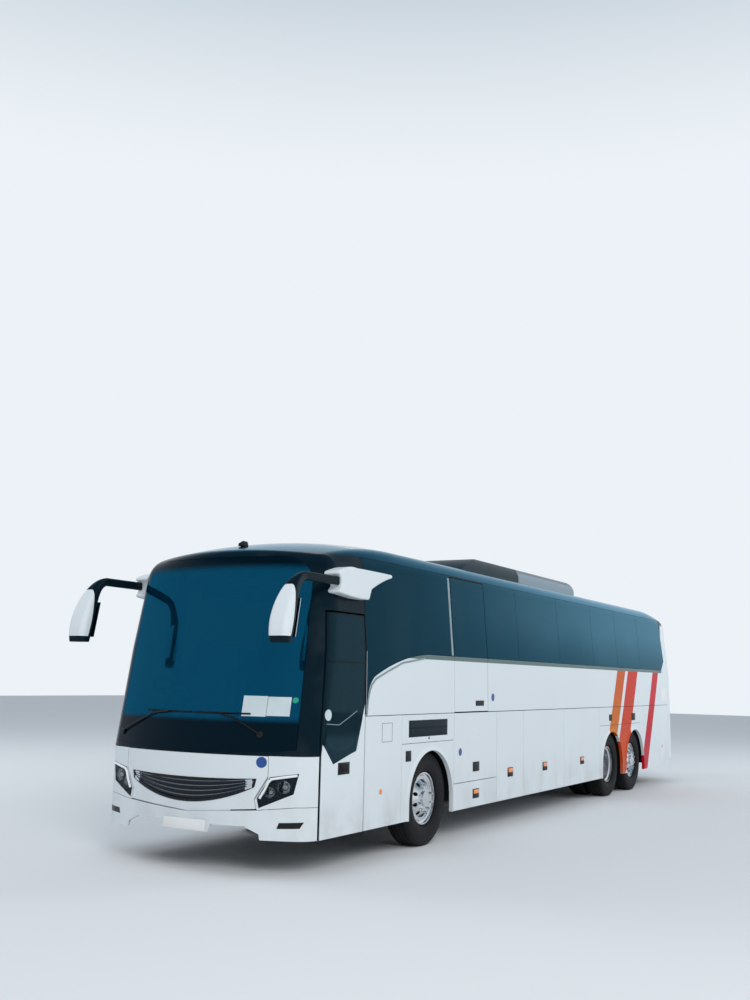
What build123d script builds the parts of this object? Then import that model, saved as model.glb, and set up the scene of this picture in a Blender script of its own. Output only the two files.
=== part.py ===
"""Three-axle touring coach, right-hand drive, with its entrance door on the left flank.

The frame: +X is the coach's left, -Y is its front and +Z is up, in millimetres.
The origin is on the ground, under the middle of the whole outline, mirrors included.
A station is a distance behind the foremost point of the body, and at() turns it into a Y.
"""
from build123d import *
from functools import lru_cache
from math import atan2, cos, degrees, radians, sin, sqrt, tan
import os

# Overall sizes
LENGTH = 13935.0
HALF_WIDTH = 1275.0
MIRROR_REACH = 363.0
FRONT_Y = -(LENGTH - MIRROR_REACH) / 2
SIDES = (("left", 1), ("right", -1))

# Heights
SKIRT_Z = 330.0
RAKE_Z = 1110.0
WAIST_Z = 1470.0
SILL_Z = 2140.0
CORNICE_Z = 3130.0
ROOF_TOP = 3380.0
FLOOR_Z = 1430.0

# Form of the body: half widths at the heights, lean of the two ends, plan radii, roof
SILL_HALF_WIDTH = 1268.0
SIDE_LEAN = radians(4.66)
FRONT_RAKE = radians(10.3)
REAR_RAKE = radians(5.2)
FRONT_BOW = 2850.0
FRONT_CORNER = 300.0
REAR_BOW = 6000.0
REAR_CORNER = 220.0
CROWN_RADIUS = 5060.0
ROOF_EDGE = 250.0
NOSE_STATION = 2200.0
NOSE_RADIUS = 6500.0
TAIL_STATION = LENGTH - 1635.0
TAIL_RADIUS = 9000.0

# Thicknesses and gaps
GLASS = 8.0
SEAT_GAP = 0.3
WALL = 50.0
PANEL = 30.0
SHEET = 10.0
PANE_LAP = 45.0
GAP = 8.0
LINE = 5.0

# Axles and wheels
FRONT_AXLE = 2810.0
WHEELBASE = 6910.0
TAG_SPACING = 1350.0
DRIVE_AXLE = FRONT_AXLE + WHEELBASE
TAG_AXLE = DRIVE_AXLE + TAG_SPACING
TYRE_RADIUS = 522.0
TYRE_WIDTH = 290.0
TYRE_X = 1080.0
TWIN_SPACING = 330.0
RIM_RADIUS = 290.0
KINGPIN_X = 925.0
HUB_Z = TYRE_RADIUS
ARCH_RADIUS = 560.0
ARCH_Z = 500.0
HOUSING_RADIUS = 640.0
HOUSING_INNER = 555.0

# Stations of the flank
DOOR_FRONT = 420.0
DOOR_REAR = 1280.0
DOOR_TOP = 2500.0
DOOR_GAP = 18.0
ARCH_PANEL_FRONT = 2090.0
# inner lip of the walls behind the panels that hang below them, and the stop round the lift door
LIP = 65.0
DOOR_STOP = 20.0
LIP_ROOT = 8.0
LIP_FLARE = 18.0
LIP_WIDTH = 50.0
# engine hatch: X and heights of its opening, and how far the wall reaches behind its lid
HATCH = ((-860.0, 860.0), (700.0, 1980.0))
HATCH_FLANGE = 25.0
REAR_LOW = 450.0
LOCKER_START = FRONT_AXLE + 620.0
LOCKER_END = DRIVE_AXLE - 650.0
TAG_PANEL_END = TAG_AXLE + 670.0
REAR_STATION = LENGTH - 475.0
LIFT_FLAP_TOP = 640.0
LIFT_LOCKER_END = LOCKER_START + 1300.0
# seams between the luggage flaps, behind the lift flap
LOCKER_SEAMS = (LIFT_LOCKER_END, LOCKER_START + 2250.0, LOCKER_START + 3890.0, LOCKER_END)
# dividers between the side panes
PANE_SEAMS = (3440.0, 4450.0, 5550.0, 7210.0, 8840.0, 10170.0, 11560.0)
LIFT_DOOR_FRONT = PANE_SEAMS[0]
LIFT_DOOR_REAR = PANE_SEAMS[1]
PANE_END_LOW = LENGTH - 875.0
PANE_END_HIGH = LENGTH - 635.0


def at(station):
    """Y of a station."""
    return FRONT_Y + station


def outline(points):
    """Flat face inside straight lines."""
    return make_face(Polyline(*points, close=True))


def box(x, station, z):
    """Box from three (low, high) pairs: X, station and Z."""
    size = (x[1] - x[0], station[1] - station[0], z[1] - z[0])
    middle = ((x[0] + x[1]) / 2, at((station[0] + station[1]) / 2), (z[0] + z[1]) / 2)
    return Pos(*middle) * Box(*size)


def side_box(side, x, station, z):
    """Box on one flank: x is a (low, high) pair of distances from the middle."""
    low, high = sorted((side * x[0], side * x[1]))
    return box((low, high), station, z)


def rod_x(radius, x, station, z):
    """Cylinder along X between two X values."""
    middle = ((x[0] + x[1]) / 2, at(station), z)
    return Pos(*middle) * Rot(0, 90, 0) * Cylinder(radius, abs(x[1] - x[0]))


def side_prism(side, points, inner=1120.0, outer=1500.0):
    """Prism through one flank over an outline of (station, Z) points."""
    face = outline([(side * inner, at(station), z) for station, z in points])
    return extrude(face, amount=outer - inner, dir=(side, 0, 0))


def front_prism(points, depth=700.0):
    """Prism through the front over an outline of (X, Z) points."""
    face = outline([(x, at(-100), z) for x, z in points])
    return extrude(face, amount=depth, dir=(0, 1, 0))


def rear_prism(points, depth=800.0):
    """Prism through the back over an outline of (X, Z) points."""
    face = outline([(x, at(LENGTH + 100), z) for x, z in points])
    return extrude(face, amount=depth, dir=(0, -1, 0))


def save(name, shape):
    """Write one node."""
    if isinstance(shape, (list, tuple)):
        shape = Compound([solid for item in shape for solid in item.solids()])
    export_step(shape, f"parts/{name}.step")
    print(name, len(shape.solids()), round(shape.volume / 1e6, 2))


# Body form

def levels():
    """Rows of height, half width, front station and rear station."""
    rows = []
    for z in (SKIRT_Z, RAKE_Z, WAIST_Z, SILL_Z, ROOF_TOP + 40):
        half = HALF_WIDTH if z <= WAIST_Z else SILL_HALF_WIDTH
        if z > SILL_Z:
            half = SILL_HALF_WIDTH - (z - SILL_Z) * tan(SIDE_LEAN)
        front = max(z - RAKE_Z, 0) * tan(FRONT_RAKE)
        rear = LENGTH - max(z - WAIST_Z, 0) * tan(REAR_RAKE)
        rows.append((z, half, front, rear))
    return rows


def plan_section(z, half, front, rear, inset):
    """Horizontal section: bowed ends, rounded corners and straight flanks, moved in by inset."""
    half, front, rear = half - inset, front + inset, rear - inset

    def end(bow, corner, tip, way):
        bow, corner = bow - inset, corner - inset
        centre = tip + way * bow
        corner_x = half - corner
        corner_y = centre - way * sqrt((bow - corner) ** 2 - corner_x ** 2)
        turn = atan2(corner_y - centre, corner_x)
        share = bow / (bow - corner)
        joint = (corner_x * share, centre + (corner_y - centre) * share)
        middle = (corner_x + corner * cos(turn / 2), corner_y + corner * sin(turn / 2))
        return joint, middle, (half, corner_y)

    def p(xy, sign=1):
        return (sign * xy[0], at(xy[1]), z)

    fj, fm, fe = end(FRONT_BOW, FRONT_CORNER, front, 1)
    rj, rm, re = end(REAR_BOW, REAR_CORNER, rear, -1)
    edges = [
        ThreePointArc(p(fj, -1), p((0, front)), p(fj)),
        ThreePointArc(p(fj), p(fm), p(fe)),
        Line(p(fe), p(re)),
        ThreePointArc(p(re), p(rm), p(rj)),
        ThreePointArc(p(rj), p((0, rear)), p(rj, -1)),
        ThreePointArc(p(rj, -1), p(rm, -1), p(re, -1)),
        Line(p(re, -1), p(fe, -1)),
        ThreePointArc(p(fe, -1), p(fm, -1), p(fj, -1)),
    ]
    return make_face(edges)


def crown(inset):
    """Everything under the arched roof, which droops at the nose and the tail."""
    top, radius, reach = ROOF_TOP - inset, CROWN_RADIUS - inset, 1400.0
    eaves = top - radius + sqrt(radius ** 2 - reach ** 2)

    def face(station):
        y = at(station)
        return make_face([
            Line((-reach, y, 200), (reach, y, 200)),
            Line((reach, y, 200), (reach, y, eaves)),
            ThreePointArc((reach, y, eaves), (0, y, top), (-reach, y, eaves)),
            Line((-reach, y, eaves), (-reach, y, 200)),
        ])

    nose_axis = Axis((0, at(NOSE_STATION), ROOF_TOP - NOSE_RADIUS), (1, 0, 0))
    tail_axis = Axis((0, at(TAIL_STATION), ROOF_TOP - TAIL_RADIUS), (-1, 0, 0))
    middle = extrude(face(NOSE_STATION), amount=TAIL_STATION - NOSE_STATION, dir=(0, 1, 0))
    nose = revolve(face(NOSE_STATION), axis=nose_axis, revolution_arc=25)
    tail = revolve(face(TAIL_STATION), axis=tail_axis, revolution_arc=14)
    base = box((-reach, reach), (-200, LENGTH + 200), (200, CORNICE_Z - 430))
    return base + middle + nose + tail


@lru_cache(maxsize=None)
def body(inset):
    """The coach's outer form, moved in by inset."""
    prism = loft([plan_section(*row, inset) for row in levels()], ruled=True)
    form = prism & crown(inset)
    rim = []
    for edge in form.edges():
        low = min(vertex.Z for vertex in edge.vertices())
        across = abs(edge.center().X) < 1 and abs(edge.center().Y) < at(LENGTH - 600)
        if low > CORNICE_Z - 250 and not across:
            rim.append(edge)
    return fillet(rim, ROOF_EDGE - inset)


@lru_cache(maxsize=None)
def low_front(inset):
    """The front end of the form below the windscreen, moved in by inset."""
    return body(inset) & box((-1400, 1400), (-100, DOOR_FRONT + 60), (250, RAKE_Z + 60))


@lru_cache(maxsize=None)
def shell(outer, inner, form=body):
    """Skin of the body between two insets."""
    return form(outer) - form(inner)


def rebate(prism, depth, form=body):
    """What a prism holds outside the form moved in by depth: the pocket that a pane lies in."""
    return prism - form(depth)


def skin(outer, inner, *cutters, form=body):
    """The part of a shell inside the first prism and outside the others."""
    piece = shell(outer, inner, form) & cutters[0]
    for cutter in cutters[1:]:
        piece = piece - cutter
    return piece


# Outlines on the flanks

FULL_SIDE = [(380, 0), (LENGTH - 150, 0), (LENGTH - 150, CORNICE_Z), (380, CORNICE_Z)]
# the line up from the door, its bend, the long sweep and where it meets the sill: stations and heights
SWOOP = ((DOOR_REAR + 15, WAIST_Z + 20), (1325.0, 1660.0), (1385.0, 1800.0), (1480.0, 1880.0), (2100.0, 2062.0),
         (3000.0, SILL_Z))
DRIVER_SILL = 1480.0


def rectangle(station, z):
    """Outline from a (low, high) pair of stations and one of heights."""
    return [(station[0], z[0]), (station[1], z[0]), (station[1], z[1]), (station[0], z[1])]


def front_pane(side, margin):
    """Prism of the first side pane, whose lower edge sweeps down to the door."""
    end, top = PANE_SEAMS[0] - LINE / 2 - margin, CORNICE_Z - LINE - margin
    low, neck, bend, knee, rise, flat = [(station - 0.7 * margin, z + margin) for station, z in SWOOP]
    slope = (neck[1] - low[1]) / (neck[0] - low[0])
    low = (low[0] + 1.7 * margin, low[1] + 1.7 * margin * slope)

    def p(point):
        return (side * 1120.0, at(point[0]), point[1])

    edges = [
        Line(p((low[0], top)), p(low)),
        Line(p(low), p(neck)),
        ThreePointArc(p(neck), p(bend), p(knee)),
        ThreePointArc(p(knee), p(rise), p(flat)),
        Line(p(flat), p((end, flat[1]))),
        Line(p((end, flat[1])), p((end, top))),
        Line(p((end, top)), p((low[0], top))),
    ]
    return extrude(make_face(edges), amount=380, dir=(side, 0, 0))


def front_opening(side, margin):
    """Prism of the opening behind the first pane, with straight edges inside the sweep."""
    start, top = SWOOP[0][0] + margin, CORNICE_Z - LINE - margin
    end = PANE_SEAMS[0] - LINE / 2 - margin
    knee, rise, flat = [(station, z + 1.5 * margin) for station, z in SWOOP[3:]]
    return side_prism(side, [(start, top), (start, knee[1] - margin), knee, rise, flat, (end, flat[1]), (end, top)])


def pane_outlines(side, margin):
    """Outlines of the straight side panes; the second on the left is in the lift door."""
    rows = []
    for front, rear in zip(PANE_SEAMS, PANE_SEAMS[1:]):
        if side == 1 and front == LIFT_DOOR_FRONT:
            continue
        rows.append(rectangle((front + LINE / 2 + margin, rear - LINE / 2 - margin),
                              (SILL_Z + margin, CORNICE_Z - LINE - margin)))
    last = PANE_SEAMS[-1] + LINE / 2 + margin
    corner = SILL_Z + 180.0
    rows.append([(last, SILL_Z + margin), (PANE_END_LOW - margin, SILL_Z + margin),
                 (PANE_END_HIGH - margin, corner + margin), (PANE_END_HIGH - 120 - margin, CORNICE_Z - LINE - margin),
                 (last, CORNICE_Z - LINE - margin)])
    return rows


def side_panes(side, margin):
    """Prisms of all fixed panes of a flank, drawn in by margin."""
    prisms = [side_prism(side, points) for points in pane_outlines(side, margin)]
    return [front_pane(side, margin)] + prisms


# Openings for moving flaps and doors

DOOR_RAKE_Z = 1250.0
DOOR_RAKE = 150.0


def door_outline(gap, low):
    """Entrance outline, drawn in by gap; its front edge leans back above the waist, as the pillar does."""
    top = DOOR_TOP + DOOR_GAP - gap
    return [(DOOR_FRONT + gap, low), (DOOR_FRONT + gap, DOOR_RAKE_Z), (DOOR_FRONT + DOOR_RAKE + gap, top),
            (DOOR_REAR - gap, top), (DOOR_REAR - gap, low)]


DOORWAY = door_outline(0, 0)
LIFT_DOORWAY = rectangle((LIFT_DOOR_FRONT - GAP / 2, LIFT_DOOR_REAR + GAP / 2), (WAIST_Z + LINE, CORNICE_Z - 20))
DRIVER_WINDOW = rectangle((DOOR_FRONT + 20, DOOR_REAR), (DRIVER_SILL, CORNICE_Z - LINE))


# Windscreen and front outlines

SCREEN_TOP = 3060.0
SCREEN_LOW = RAKE_Z + 8
SCREEN_CORNER = (1115.0, 1165.0)
SCREEN_HEAD = 1060.0


def screen_prism(margin):
    """Windscreen opening seen from the front, drawn in by margin."""
    low_x, low_z = SCREEN_CORNER[0] - margin, SCREEN_CORNER[1] + margin
    top_x, top_z = SCREEN_HEAD - margin, SCREEN_TOP - margin
    y = at(-100)
    edges = [
        ThreePointArc((-low_x, y, low_z), (0, y, SCREEN_LOW + margin), (low_x, y, low_z)),
        Line((low_x, y, low_z), (top_x, y, top_z)),
        Line((top_x, y, top_z), (-top_x, y, top_z)),
        Line((-top_x, y, top_z), (-low_x, y, low_z)),
    ]
    return extrude(make_face(edges), amount=520 + 100, dir=(0, 1, 0))


HEADLAMP = ((1150.0, 950.0), (890.0, 910.0), (770.0, 710.0), (790.0, 620.0), (1110.0, 760.0))
FOG_LAMP = ((965.0, 440.0), (1165.0, 448.0), (1195.0, 505.0), (985.0, 495.0))
LAMP_LENS = 6.0
LAMP_DEPTH = 58.0
LAMP_FACE = 2.0
LAMP_DOME = 0.62
FOG_DEPTH = 44.0
# rows of X, Z and radius of the bowls in a headlamp
LAMP_BOWLS = ((1015.0, 822.0, 58.0), (885.0, 770.0, 48.0))
# the lid swings forward as it drops at its bowed sides, so its leaning edges keep a wide gap
LID_HOLE = ((-875.0, 1300.0), (-875.0, 899.0), (-752.0, 694.0), (-776.0, 600.0), (-776.0, 400.0), (776.0, 400.0),
            (776.0, 600.0), (752.0, 694.0), (875.0, 899.0), (875.0, 1300.0))
LID_FLANK = 867.0
LID = ((-LID_FLANK, 915.0), (-741.0, 705.0), (-762.0, 613.0), (0.0, 560.0), (762.0, 613.0), (741.0, 705.0),
       (LID_FLANK, 915.0), (LID_FLANK, RAKE_Z - GAP), (-LID_FLANK, RAKE_Z - GAP))
GRILLE_HALF = 765.0
GRILLE_FOOT = 745.0
GRILLE_TOP = 892.0
GRILLE_BROW = 876.0
GRILLE_END = 812.0
GRILLE_CHIN = 642.0
GRILLE_RIM = 24.0
GRILLE_PROUD = 4.0
GRILLE_POCKET = 30.0
GRILLE_BACK = 38.0
SLATS = 4
SLAT_HEIGHT = 22.0
BUMPER_SEAM = ((-1400.0, 640.0), (-1130.0, 640.0), (-775.0, 604.0), (0.0, 557.0), (775.0, 604.0), (1130.0, 640.0),
               (1400.0, 640.0))
BUMPER_UNDERSIDE = ((-870.0, 0.0), (-800.0, 385.0), (-650.0, 448.0), (-300.0, 448.0), (-275.0, 372.0),
                    (275.0, 372.0), (300.0, 448.0), (650.0, 448.0), (800.0, 385.0), (870.0, 0.0))
PLATE_PAD = ((-272.0, 374.0), (272.0, 374.0), (272.0, 488.0), (-272.0, 488.0))
PLATE_PAD_PROUD = 12.0


def widened(points, margin):
    """Outline with every side moved out by margin, or in by a negative one."""
    pairs = list(zip(points, [*points[1:], points[0]]))
    way = 1 if sum(a[0] * b[1] - b[0] * a[1] for a, b in pairs) > 0 else -1
    normals = []
    for a, b in pairs:
        run = sqrt((b[0] - a[0]) ** 2 + (b[1] - a[1]) ** 2)
        normals.append((way * (b[1] - a[1]) / run, way * (a[0] - b[0]) / run))
    moved = []
    for point, before, after in zip(points, [normals[-1], *normals[:-1]], normals):
        share = margin / (1 + before[0] * after[0] + before[1] * after[1])
        moved.append((point[0] + share * (before[0] + after[0]), point[1] + share * (before[1] + after[1])))
    return moved


def mirrored(points):
    return [(-x, z) for x, z in points]


# Skin: front

def crescent(half_top, ends_top, middle_top, half_low, ends_low, middle_low):
    """Prism through the front between an upper and a lower arc."""
    y = at(-100)
    face = make_face([
        ThreePointArc((-half_top, y, ends_top), (0, y, middle_top), (half_top, y, ends_top)),
        Line((half_top, y, ends_top), (half_low, y, ends_low)),
        ThreePointArc((half_low, y, ends_low), (0, y, middle_low), (-half_low, y, ends_low)),
        Line((-half_low, y, ends_low), (-half_top, y, ends_top)),
    ])
    return extrude(face, amount=700, dir=(0, 1, 0))


def grille_prism(margin):
    """Opening of the grille, moved out by margin."""
    return crescent(GRILLE_HALF + margin, GRILLE_TOP + margin, GRILLE_BROW + margin,
                    GRILLE_FOOT + margin, GRILLE_END - margin, GRILLE_CHIN - margin)


def grille():
    """Moulded black tray with a rim and curved slats that fan out from its ends."""
    tray = skin(-GRILLE_PROUD, GRILLE_BACK, grille_prism(-SEAT_GAP), form=low_front)
    tray = tray - rebate(grille_prism(-GRILLE_RIM), GRILLE_POCKET, form=low_front)
    for number in range(1, SLATS + 1):
        share = number / (SLATS + 1)
        ends = GRILLE_TOP + (GRILLE_END - GRILLE_TOP) * share
        middle = GRILLE_BROW + (GRILLE_CHIN - GRILLE_BROW) * share
        half = GRILLE_FOOT - GRILLE_RIM / 2
        lift = SLAT_HEIGHT / 2
        slat = crescent(half, ends + lift / 2, middle + lift, half, ends - lift / 2, middle - lift)
        tray = tray + skin(GRILLE_PROUD, GRILLE_POCKET + 2, slat, form=low_front)
    return tray


def front_station(x, inset):
    """Station of the bowed front below the rake, at a distance from the middle and an inset."""
    bow = FRONT_BOW - inset
    return inset + bow - sqrt(bow ** 2 - x ** 2)


def headlamp(points):
    """Housing of one headlamp, with a dome in each of its bowls, and the lens over it."""
    side = 1 if points[0][0] > 0 else -1
    housing = skin(LAMP_FACE + LAMP_LENS + SEAT_GAP, LAMP_DEPTH, front_prism(points), form=low_front)
    for x, z, radius in LAMP_BOWLS:
        floor_y = at(front_station(x, LAMP_DEPTH - SHEET))
        reach = 200.0
        bowl = Pos(side * x, floor_y - reach / 2, z) * Rot(90, 0, 0) * Cylinder(radius, reach)
        dome = Pos(side * x, floor_y - 2, z) * Sphere(radius * LAMP_DOME) & bowl
        housing = housing - bowl + dome
    lens = skin(LAMP_FACE, LAMP_FACE + LAMP_LENS, front_prism(points), form=low_front)
    return housing, lens


def front_pieces():
    nose = box((-1400, 1400), (-100, DOOR_FRONT - LINE), (0, RAKE_Z - LINE))
    lamps = [HEADLAMP, mirrored(HEADLAMP)]
    fogs = [FOG_LAMP, mirrored(FOG_LAMP)]
    above_seam = front_prism([*BUMPER_SEAM, (1400, RAKE_Z), (-1400, RAKE_Z)])
    below_seam = front_prism([(x, z - LINE) for x, z in BUMPER_SEAM] + [(1400, 0), (-1400, 0)])
    lamp_holes = [front_prism(widened(points, SEAT_GAP)) for points in lamps]
    fog_holes = [front_prism(widened(points, SEAT_GAP)) for points in fogs]
    save("front_panel", skin(0, PANEL, nose & above_seam, *lamp_holes, front_prism(LID_HOLE), form=low_front))
    bumper = skin(0, PANEL, nose & below_seam, front_prism(BUMPER_UNDERSIDE), *fog_holes, form=low_front)
    pad = skin(-PLATE_PAD_PROUD, SHEET, front_prism(PLATE_PAD), form=low_front)
    save("bumper_front", bumper + pad)
    built = [headlamp(points) for points in lamps]
    fog_lamps = [skin(LAMP_FACE, FOG_DEPTH, front_prism(points), form=low_front) for points in fogs]
    save("headlamps", [housing for housing, _ in built] + fog_lamps)
    save("headlamp_lenses", [lens for _, lens in built])
    save("front_flap", skin(0, PANEL, front_prism(LID) & nose, grille_prism(0), form=low_front))
    save("grille", grille())


def glass_pieces():
    save("windscreen", skin(0, GLASS, screen_prism(LINE / 2)))
    panes = [skin(0, GLASS, prism) for _, side in SIDES for prism in side_panes(side, LINE / 2)]
    panes.append(skin(0, GLASS, side_prism(-1, DRIVER_WINDOW)))
    panes.append(skin(0, GLASS, rear_prism(rear_window_outline(LINE / 2))))
    save("side_windows", panes)


def rear_window_outline(margin):
    return rectangle((-930 + margin, 930 - margin), (2350 + margin, 2950 - margin))


def grown(points, margin):
    """Rectangle outline with each side moved out by margin."""
    low_s, high_s = points[0][0] - margin, points[1][0] + margin
    low_z, high_z = points[0][1] - margin, points[2][1] + margin
    return rectangle((low_s, high_s), (low_z, high_z))


def front_frame():
    """Frame round the windscreen, the entrance and the driver's window, with an inner lip behind the panels below.

    It is made as the lower ring, the pillars and the header, which meet where the door's front edge starts to lean
    and at the head of the doorway.
    """
    zone = box((-1400, 1400), (-100, DOOR_REAR - LINE), (RAKE_Z - LIP, CORNICE_Z - SEAT_GAP))
    below = box((-1400, 1400), (-100, DOOR_REAR + 100), (0, RAKE_Z))
    driver_skirt = side_prism(-1, rectangle((DOOR_FRONT - LINE, DOOR_REAR), (0, DRIVER_SILL - LINE / 2)))
    frame = skin(0, WALL, zone, side_prism(1, DOORWAY), screen_prism(60), side_prism(-1, grown(DRIVER_WINDOW, -60)))
    frame = frame - rebate(below, PANEL + SEAT_GAP) - rebate(driver_skirt, PANEL + SEAT_GAP)
    frame = frame - rebate(screen_prism(-LINE / 2), GLASS + SEAT_GAP)
    frame = frame - rebate(side_prism(-1, grown(DRIVER_WINDOW, LINE / 2)), GLASS + SEAT_GAP)
    door_head = DOOR_TOP + DOOR_GAP
    bands = ((0, DOOR_RAKE_Z), (DOOR_RAKE_Z + SEAT_GAP, door_head), (door_head + SEAT_GAP, CORNICE_Z))
    save("front_frame", [frame & box((-1400, 1400), (-100, DOOR_REAR + 100), band) for band in bands])


# Skin: flanks, roof and rear

def side_wall(name, side):
    """Upper flank with its window flanges and an inner lip behind the flaps and skirts below."""
    stations = (DOOR_REAR + SEAT_GAP, REAR_STATION)
    wall = skin(0, WALL, side_prism(side, rectangle(stations, (WAIST_Z - LIP, CORNICE_Z - SEAT_GAP))))
    below = side_prism(side, rectangle((DOOR_REAR, REAR_STATION + 50), (1000, WAIST_Z + LINE)))
    wall = wall - rebate(below, PANEL + SEAT_GAP)
    for prism in side_panes(side, 0):
        wall = wall - rebate(prism, GLASS + SEAT_GAP)
    for prism in [front_opening(side, PANE_LAP)] + side_panes(side, PANE_LAP)[1:]:
        wall = wall - prism
    if side == 1:
        wall = wall - side_prism(side, LIFT_DOORWAY)
        above = side_prism(side, rectangle(stations, (FLOOR_Z + DECK + SEAT_GAP, CORNICE_Z)))
        stop = side_prism(side, grown(LIFT_DOORWAY, DOOR_STOP)) - side_prism(side, grown(LIFT_DOORWAY, -DOOR_STOP))
        stop = stop & above
        link = stop - side_prism(side, LIFT_DOORWAY)
        wall = wall + skin(WALL + SEAT_GAP, WALL + SHEET, stop) + skin(WALL - SHEET, WALL + SHEET, link)
    save(f"side_wall_{name}", wall)


def arch_lip(side, station):
    """Flared lip round one wheel arch: a ring over the wheel and two straight legs."""
    rows = ((ARCH_RADIUS, -LIP_ROOT), (ARCH_RADIUS, LIP_FLARE), (ARCH_RADIUS + 10, LIP_FLARE),
            (ARCH_RADIUS + LIP_WIDTH, 0), (ARCH_RADIUS + LIP_WIDTH, -LIP_ROOT))
    legs = []
    for way in (1, -1):
        points = [(side * (HALF_WIDTH + out), at(station + way * radius), ARCH_Z) for radius, out in rows]
        legs.append(outline(points))
    ring = revolve(legs[0], axis=Axis((0, at(station), ARCH_Z), (1, 0, 0)), revolution_arc=180)
    for leg in legs:
        ring = ring + extrude(leg, amount=ARCH_Z - SKIRT_Z, dir=(0, 0, -1))
    return ring


def skirts():
    """Fixed panels below the waist: by the front wheels, over and behind the rear wheels, under the driver's window."""
    pieces = []
    top = WAIST_Z - LINE / 2
    for _, side in SIDES:
        arches = [rod_x(ARCH_RADIUS, (side * 900, side * 1400), station, ARCH_Z)
                  + side_box(side, (900, 1400), (station - ARCH_RADIUS, station + ARCH_RADIUS), (0, ARCH_Z))
                  for station in (FRONT_AXLE, DRIVE_AXLE, TAG_AXLE)]
        rows = [
            ((DOOR_REAR + SEAT_GAP, ARCH_PANEL_FRONT - LINE / 2), (0, top)),
            ((ARCH_PANEL_FRONT + LINE / 2, LOCKER_START - GAP / 2), (0, top)),
            ((LOCKER_END + GAP / 2, TAG_PANEL_END), (0, top)),
            ((TAG_PANEL_END + LINE, REAR_STATION), (0, top)),
        ]
        if side == -1:
            rows.append(((DOOR_FRONT, DOOR_REAR - LINE), (0, DRIVER_SILL - LINE)))
        for stations, z in rows:
            piece = skin(0, PANEL, side_prism(side, rectangle(stations, z)), *arches)
            for axle in (FRONT_AXLE, DRIVE_AXLE, TAG_AXLE):
                if stations[0] < axle < stations[1]:
                    piece = piece + arch_lip(side, axle)
            pieces.append(piece)
    save("skirt_panels", pieces)


def roof_and_rear():
    save("roof", skin(0, WALL, box((-1400, 1400), (-100, LENGTH + 100), (CORNICE_Z, ROOF_TOP + 50))))
    zone = box((-1400, 1400), (REAR_STATION + LINE, LENGTH + 100), (REAR_LOW, CORNICE_Z - SEAT_GAP))
    window = rear_prism(rear_window_outline(50))
    hatch = rear_prism(rectangle(*HATCH))
    through = rear_prism(grown(rectangle(*HATCH), -HATCH_FLANGE))
    wall = skin(0, WALL, zone, window, through, *[rear_prism(lamp) for lamp in lamp_outlines(0)])
    wall = wall - rebate(hatch, PANEL + SEAT_GAP)
    save("rear_wall", wall - rebate(rear_prism(rear_window_outline(0)), GLASS + SEAT_GAP))
    save("engine_lid", skin(0, PANEL, rear_prism(grown(rectangle(*HATCH), -GAP))))
    save("tail_lamps", [skin(0, 60, rear_prism(lamp)) for lamp in lamp_outlines(SEAT_GAP)])


def lamp_outlines(margin):
    rows = []
    for side in (1, -1):
        rows.append([(side * (1000 + margin), 900 + margin), (side * (1120 - margin), 900 + margin),
                     (side * (1120 - margin), 1700 - margin), (side * (1000 + margin), 1700 - margin)])
    return rows


# Doors and flaps

def entrance_door():
    """Leaf with two panes let into it and the lugs and pins that its arms carry."""
    front, rear = DOOR_FRONT + DOOR_GAP, DOOR_REAR - DOOR_GAP

    def edge(z, margin):
        """Station a margin behind the leaf's front edge at a height."""
        lean = max(z - DOOR_RAKE_Z, 0) / (DOOR_TOP - DOOR_RAKE_Z) * DOOR_RAKE
        return (front + lean + margin, z)

    panes = (
        (edge(2022, 22), (rear - 22, 2022), (rear - 22, DOOR_TOP - 12), edge(DOOR_TOP - 12, 22)),
        (edge(1215, 22), (670, 1030), (1100, 1130), (1215, 1450), (rear - 22, 2004), edge(2004, 22),
         edge(DOOR_RAKE_Z, 22)),
    )
    openings = (
        (edge(2060, 80), (rear - 80, 2060), (rear - 80, DOOR_TOP - 110), edge(DOOR_TOP - 110, 80)),
        (edge(1260, 80), (690, 1110), (1060, 1190), (1140, 1480), (rear - 80, 1960), edge(1960, 80)),
    )
    leaf = skin(0, DOOR_THICK, side_prism(1, door_outline(DOOR_GAP, SKIRT_Z)))
    for points in panes:
        leaf = leaf - rebate(side_prism(1, points), GLASS + SEAT_GAP)
    for points in openings:
        leaf = leaf - side_prism(1, points)
    for z, lug_reach in ARM_HEIGHTS:
        for way in (-1, 1):
            lug_z = z + way * (ARM_SIZE / 2 + 13)
            lug = Pos(ARM_END[0], at(ARM_END[1]), lug_z) * Cylinder(20, 16)
            foot = Pos(ARM_END[0] + lug_reach / 2, at(ARM_END[1]), lug_z) * Box(lug_reach, 40, 16)
            leaf = leaf + lug + foot
        leaf = leaf + Pos(ARM_END[0], at(ARM_END[1]), z) * Cylinder(PIN_RADIUS, ARM_SIZE + 20)
    save("door_leaf", leaf)
    save("door_glass", [skin(0, GLASS, side_prism(1, points)) for points in panes])


DOOR_THICK = 40.0
ARM_PIVOT = (1120.0, 500.0)
ARM_END = (1180.0, 950.0)
ARM_BULGE = (1030.0, 665.0)
# rows of height and reach of the leaf's lug, which grows with the lean of the flank
ARM_HEIGHTS = ((540.0, 57.0), (980.0, 57.0))
ARM_SIZE = 40.0
PIN_RADIUS = 10.0
PIN_GAP = 0.1
POST_RADIUS = 28.0


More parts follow.
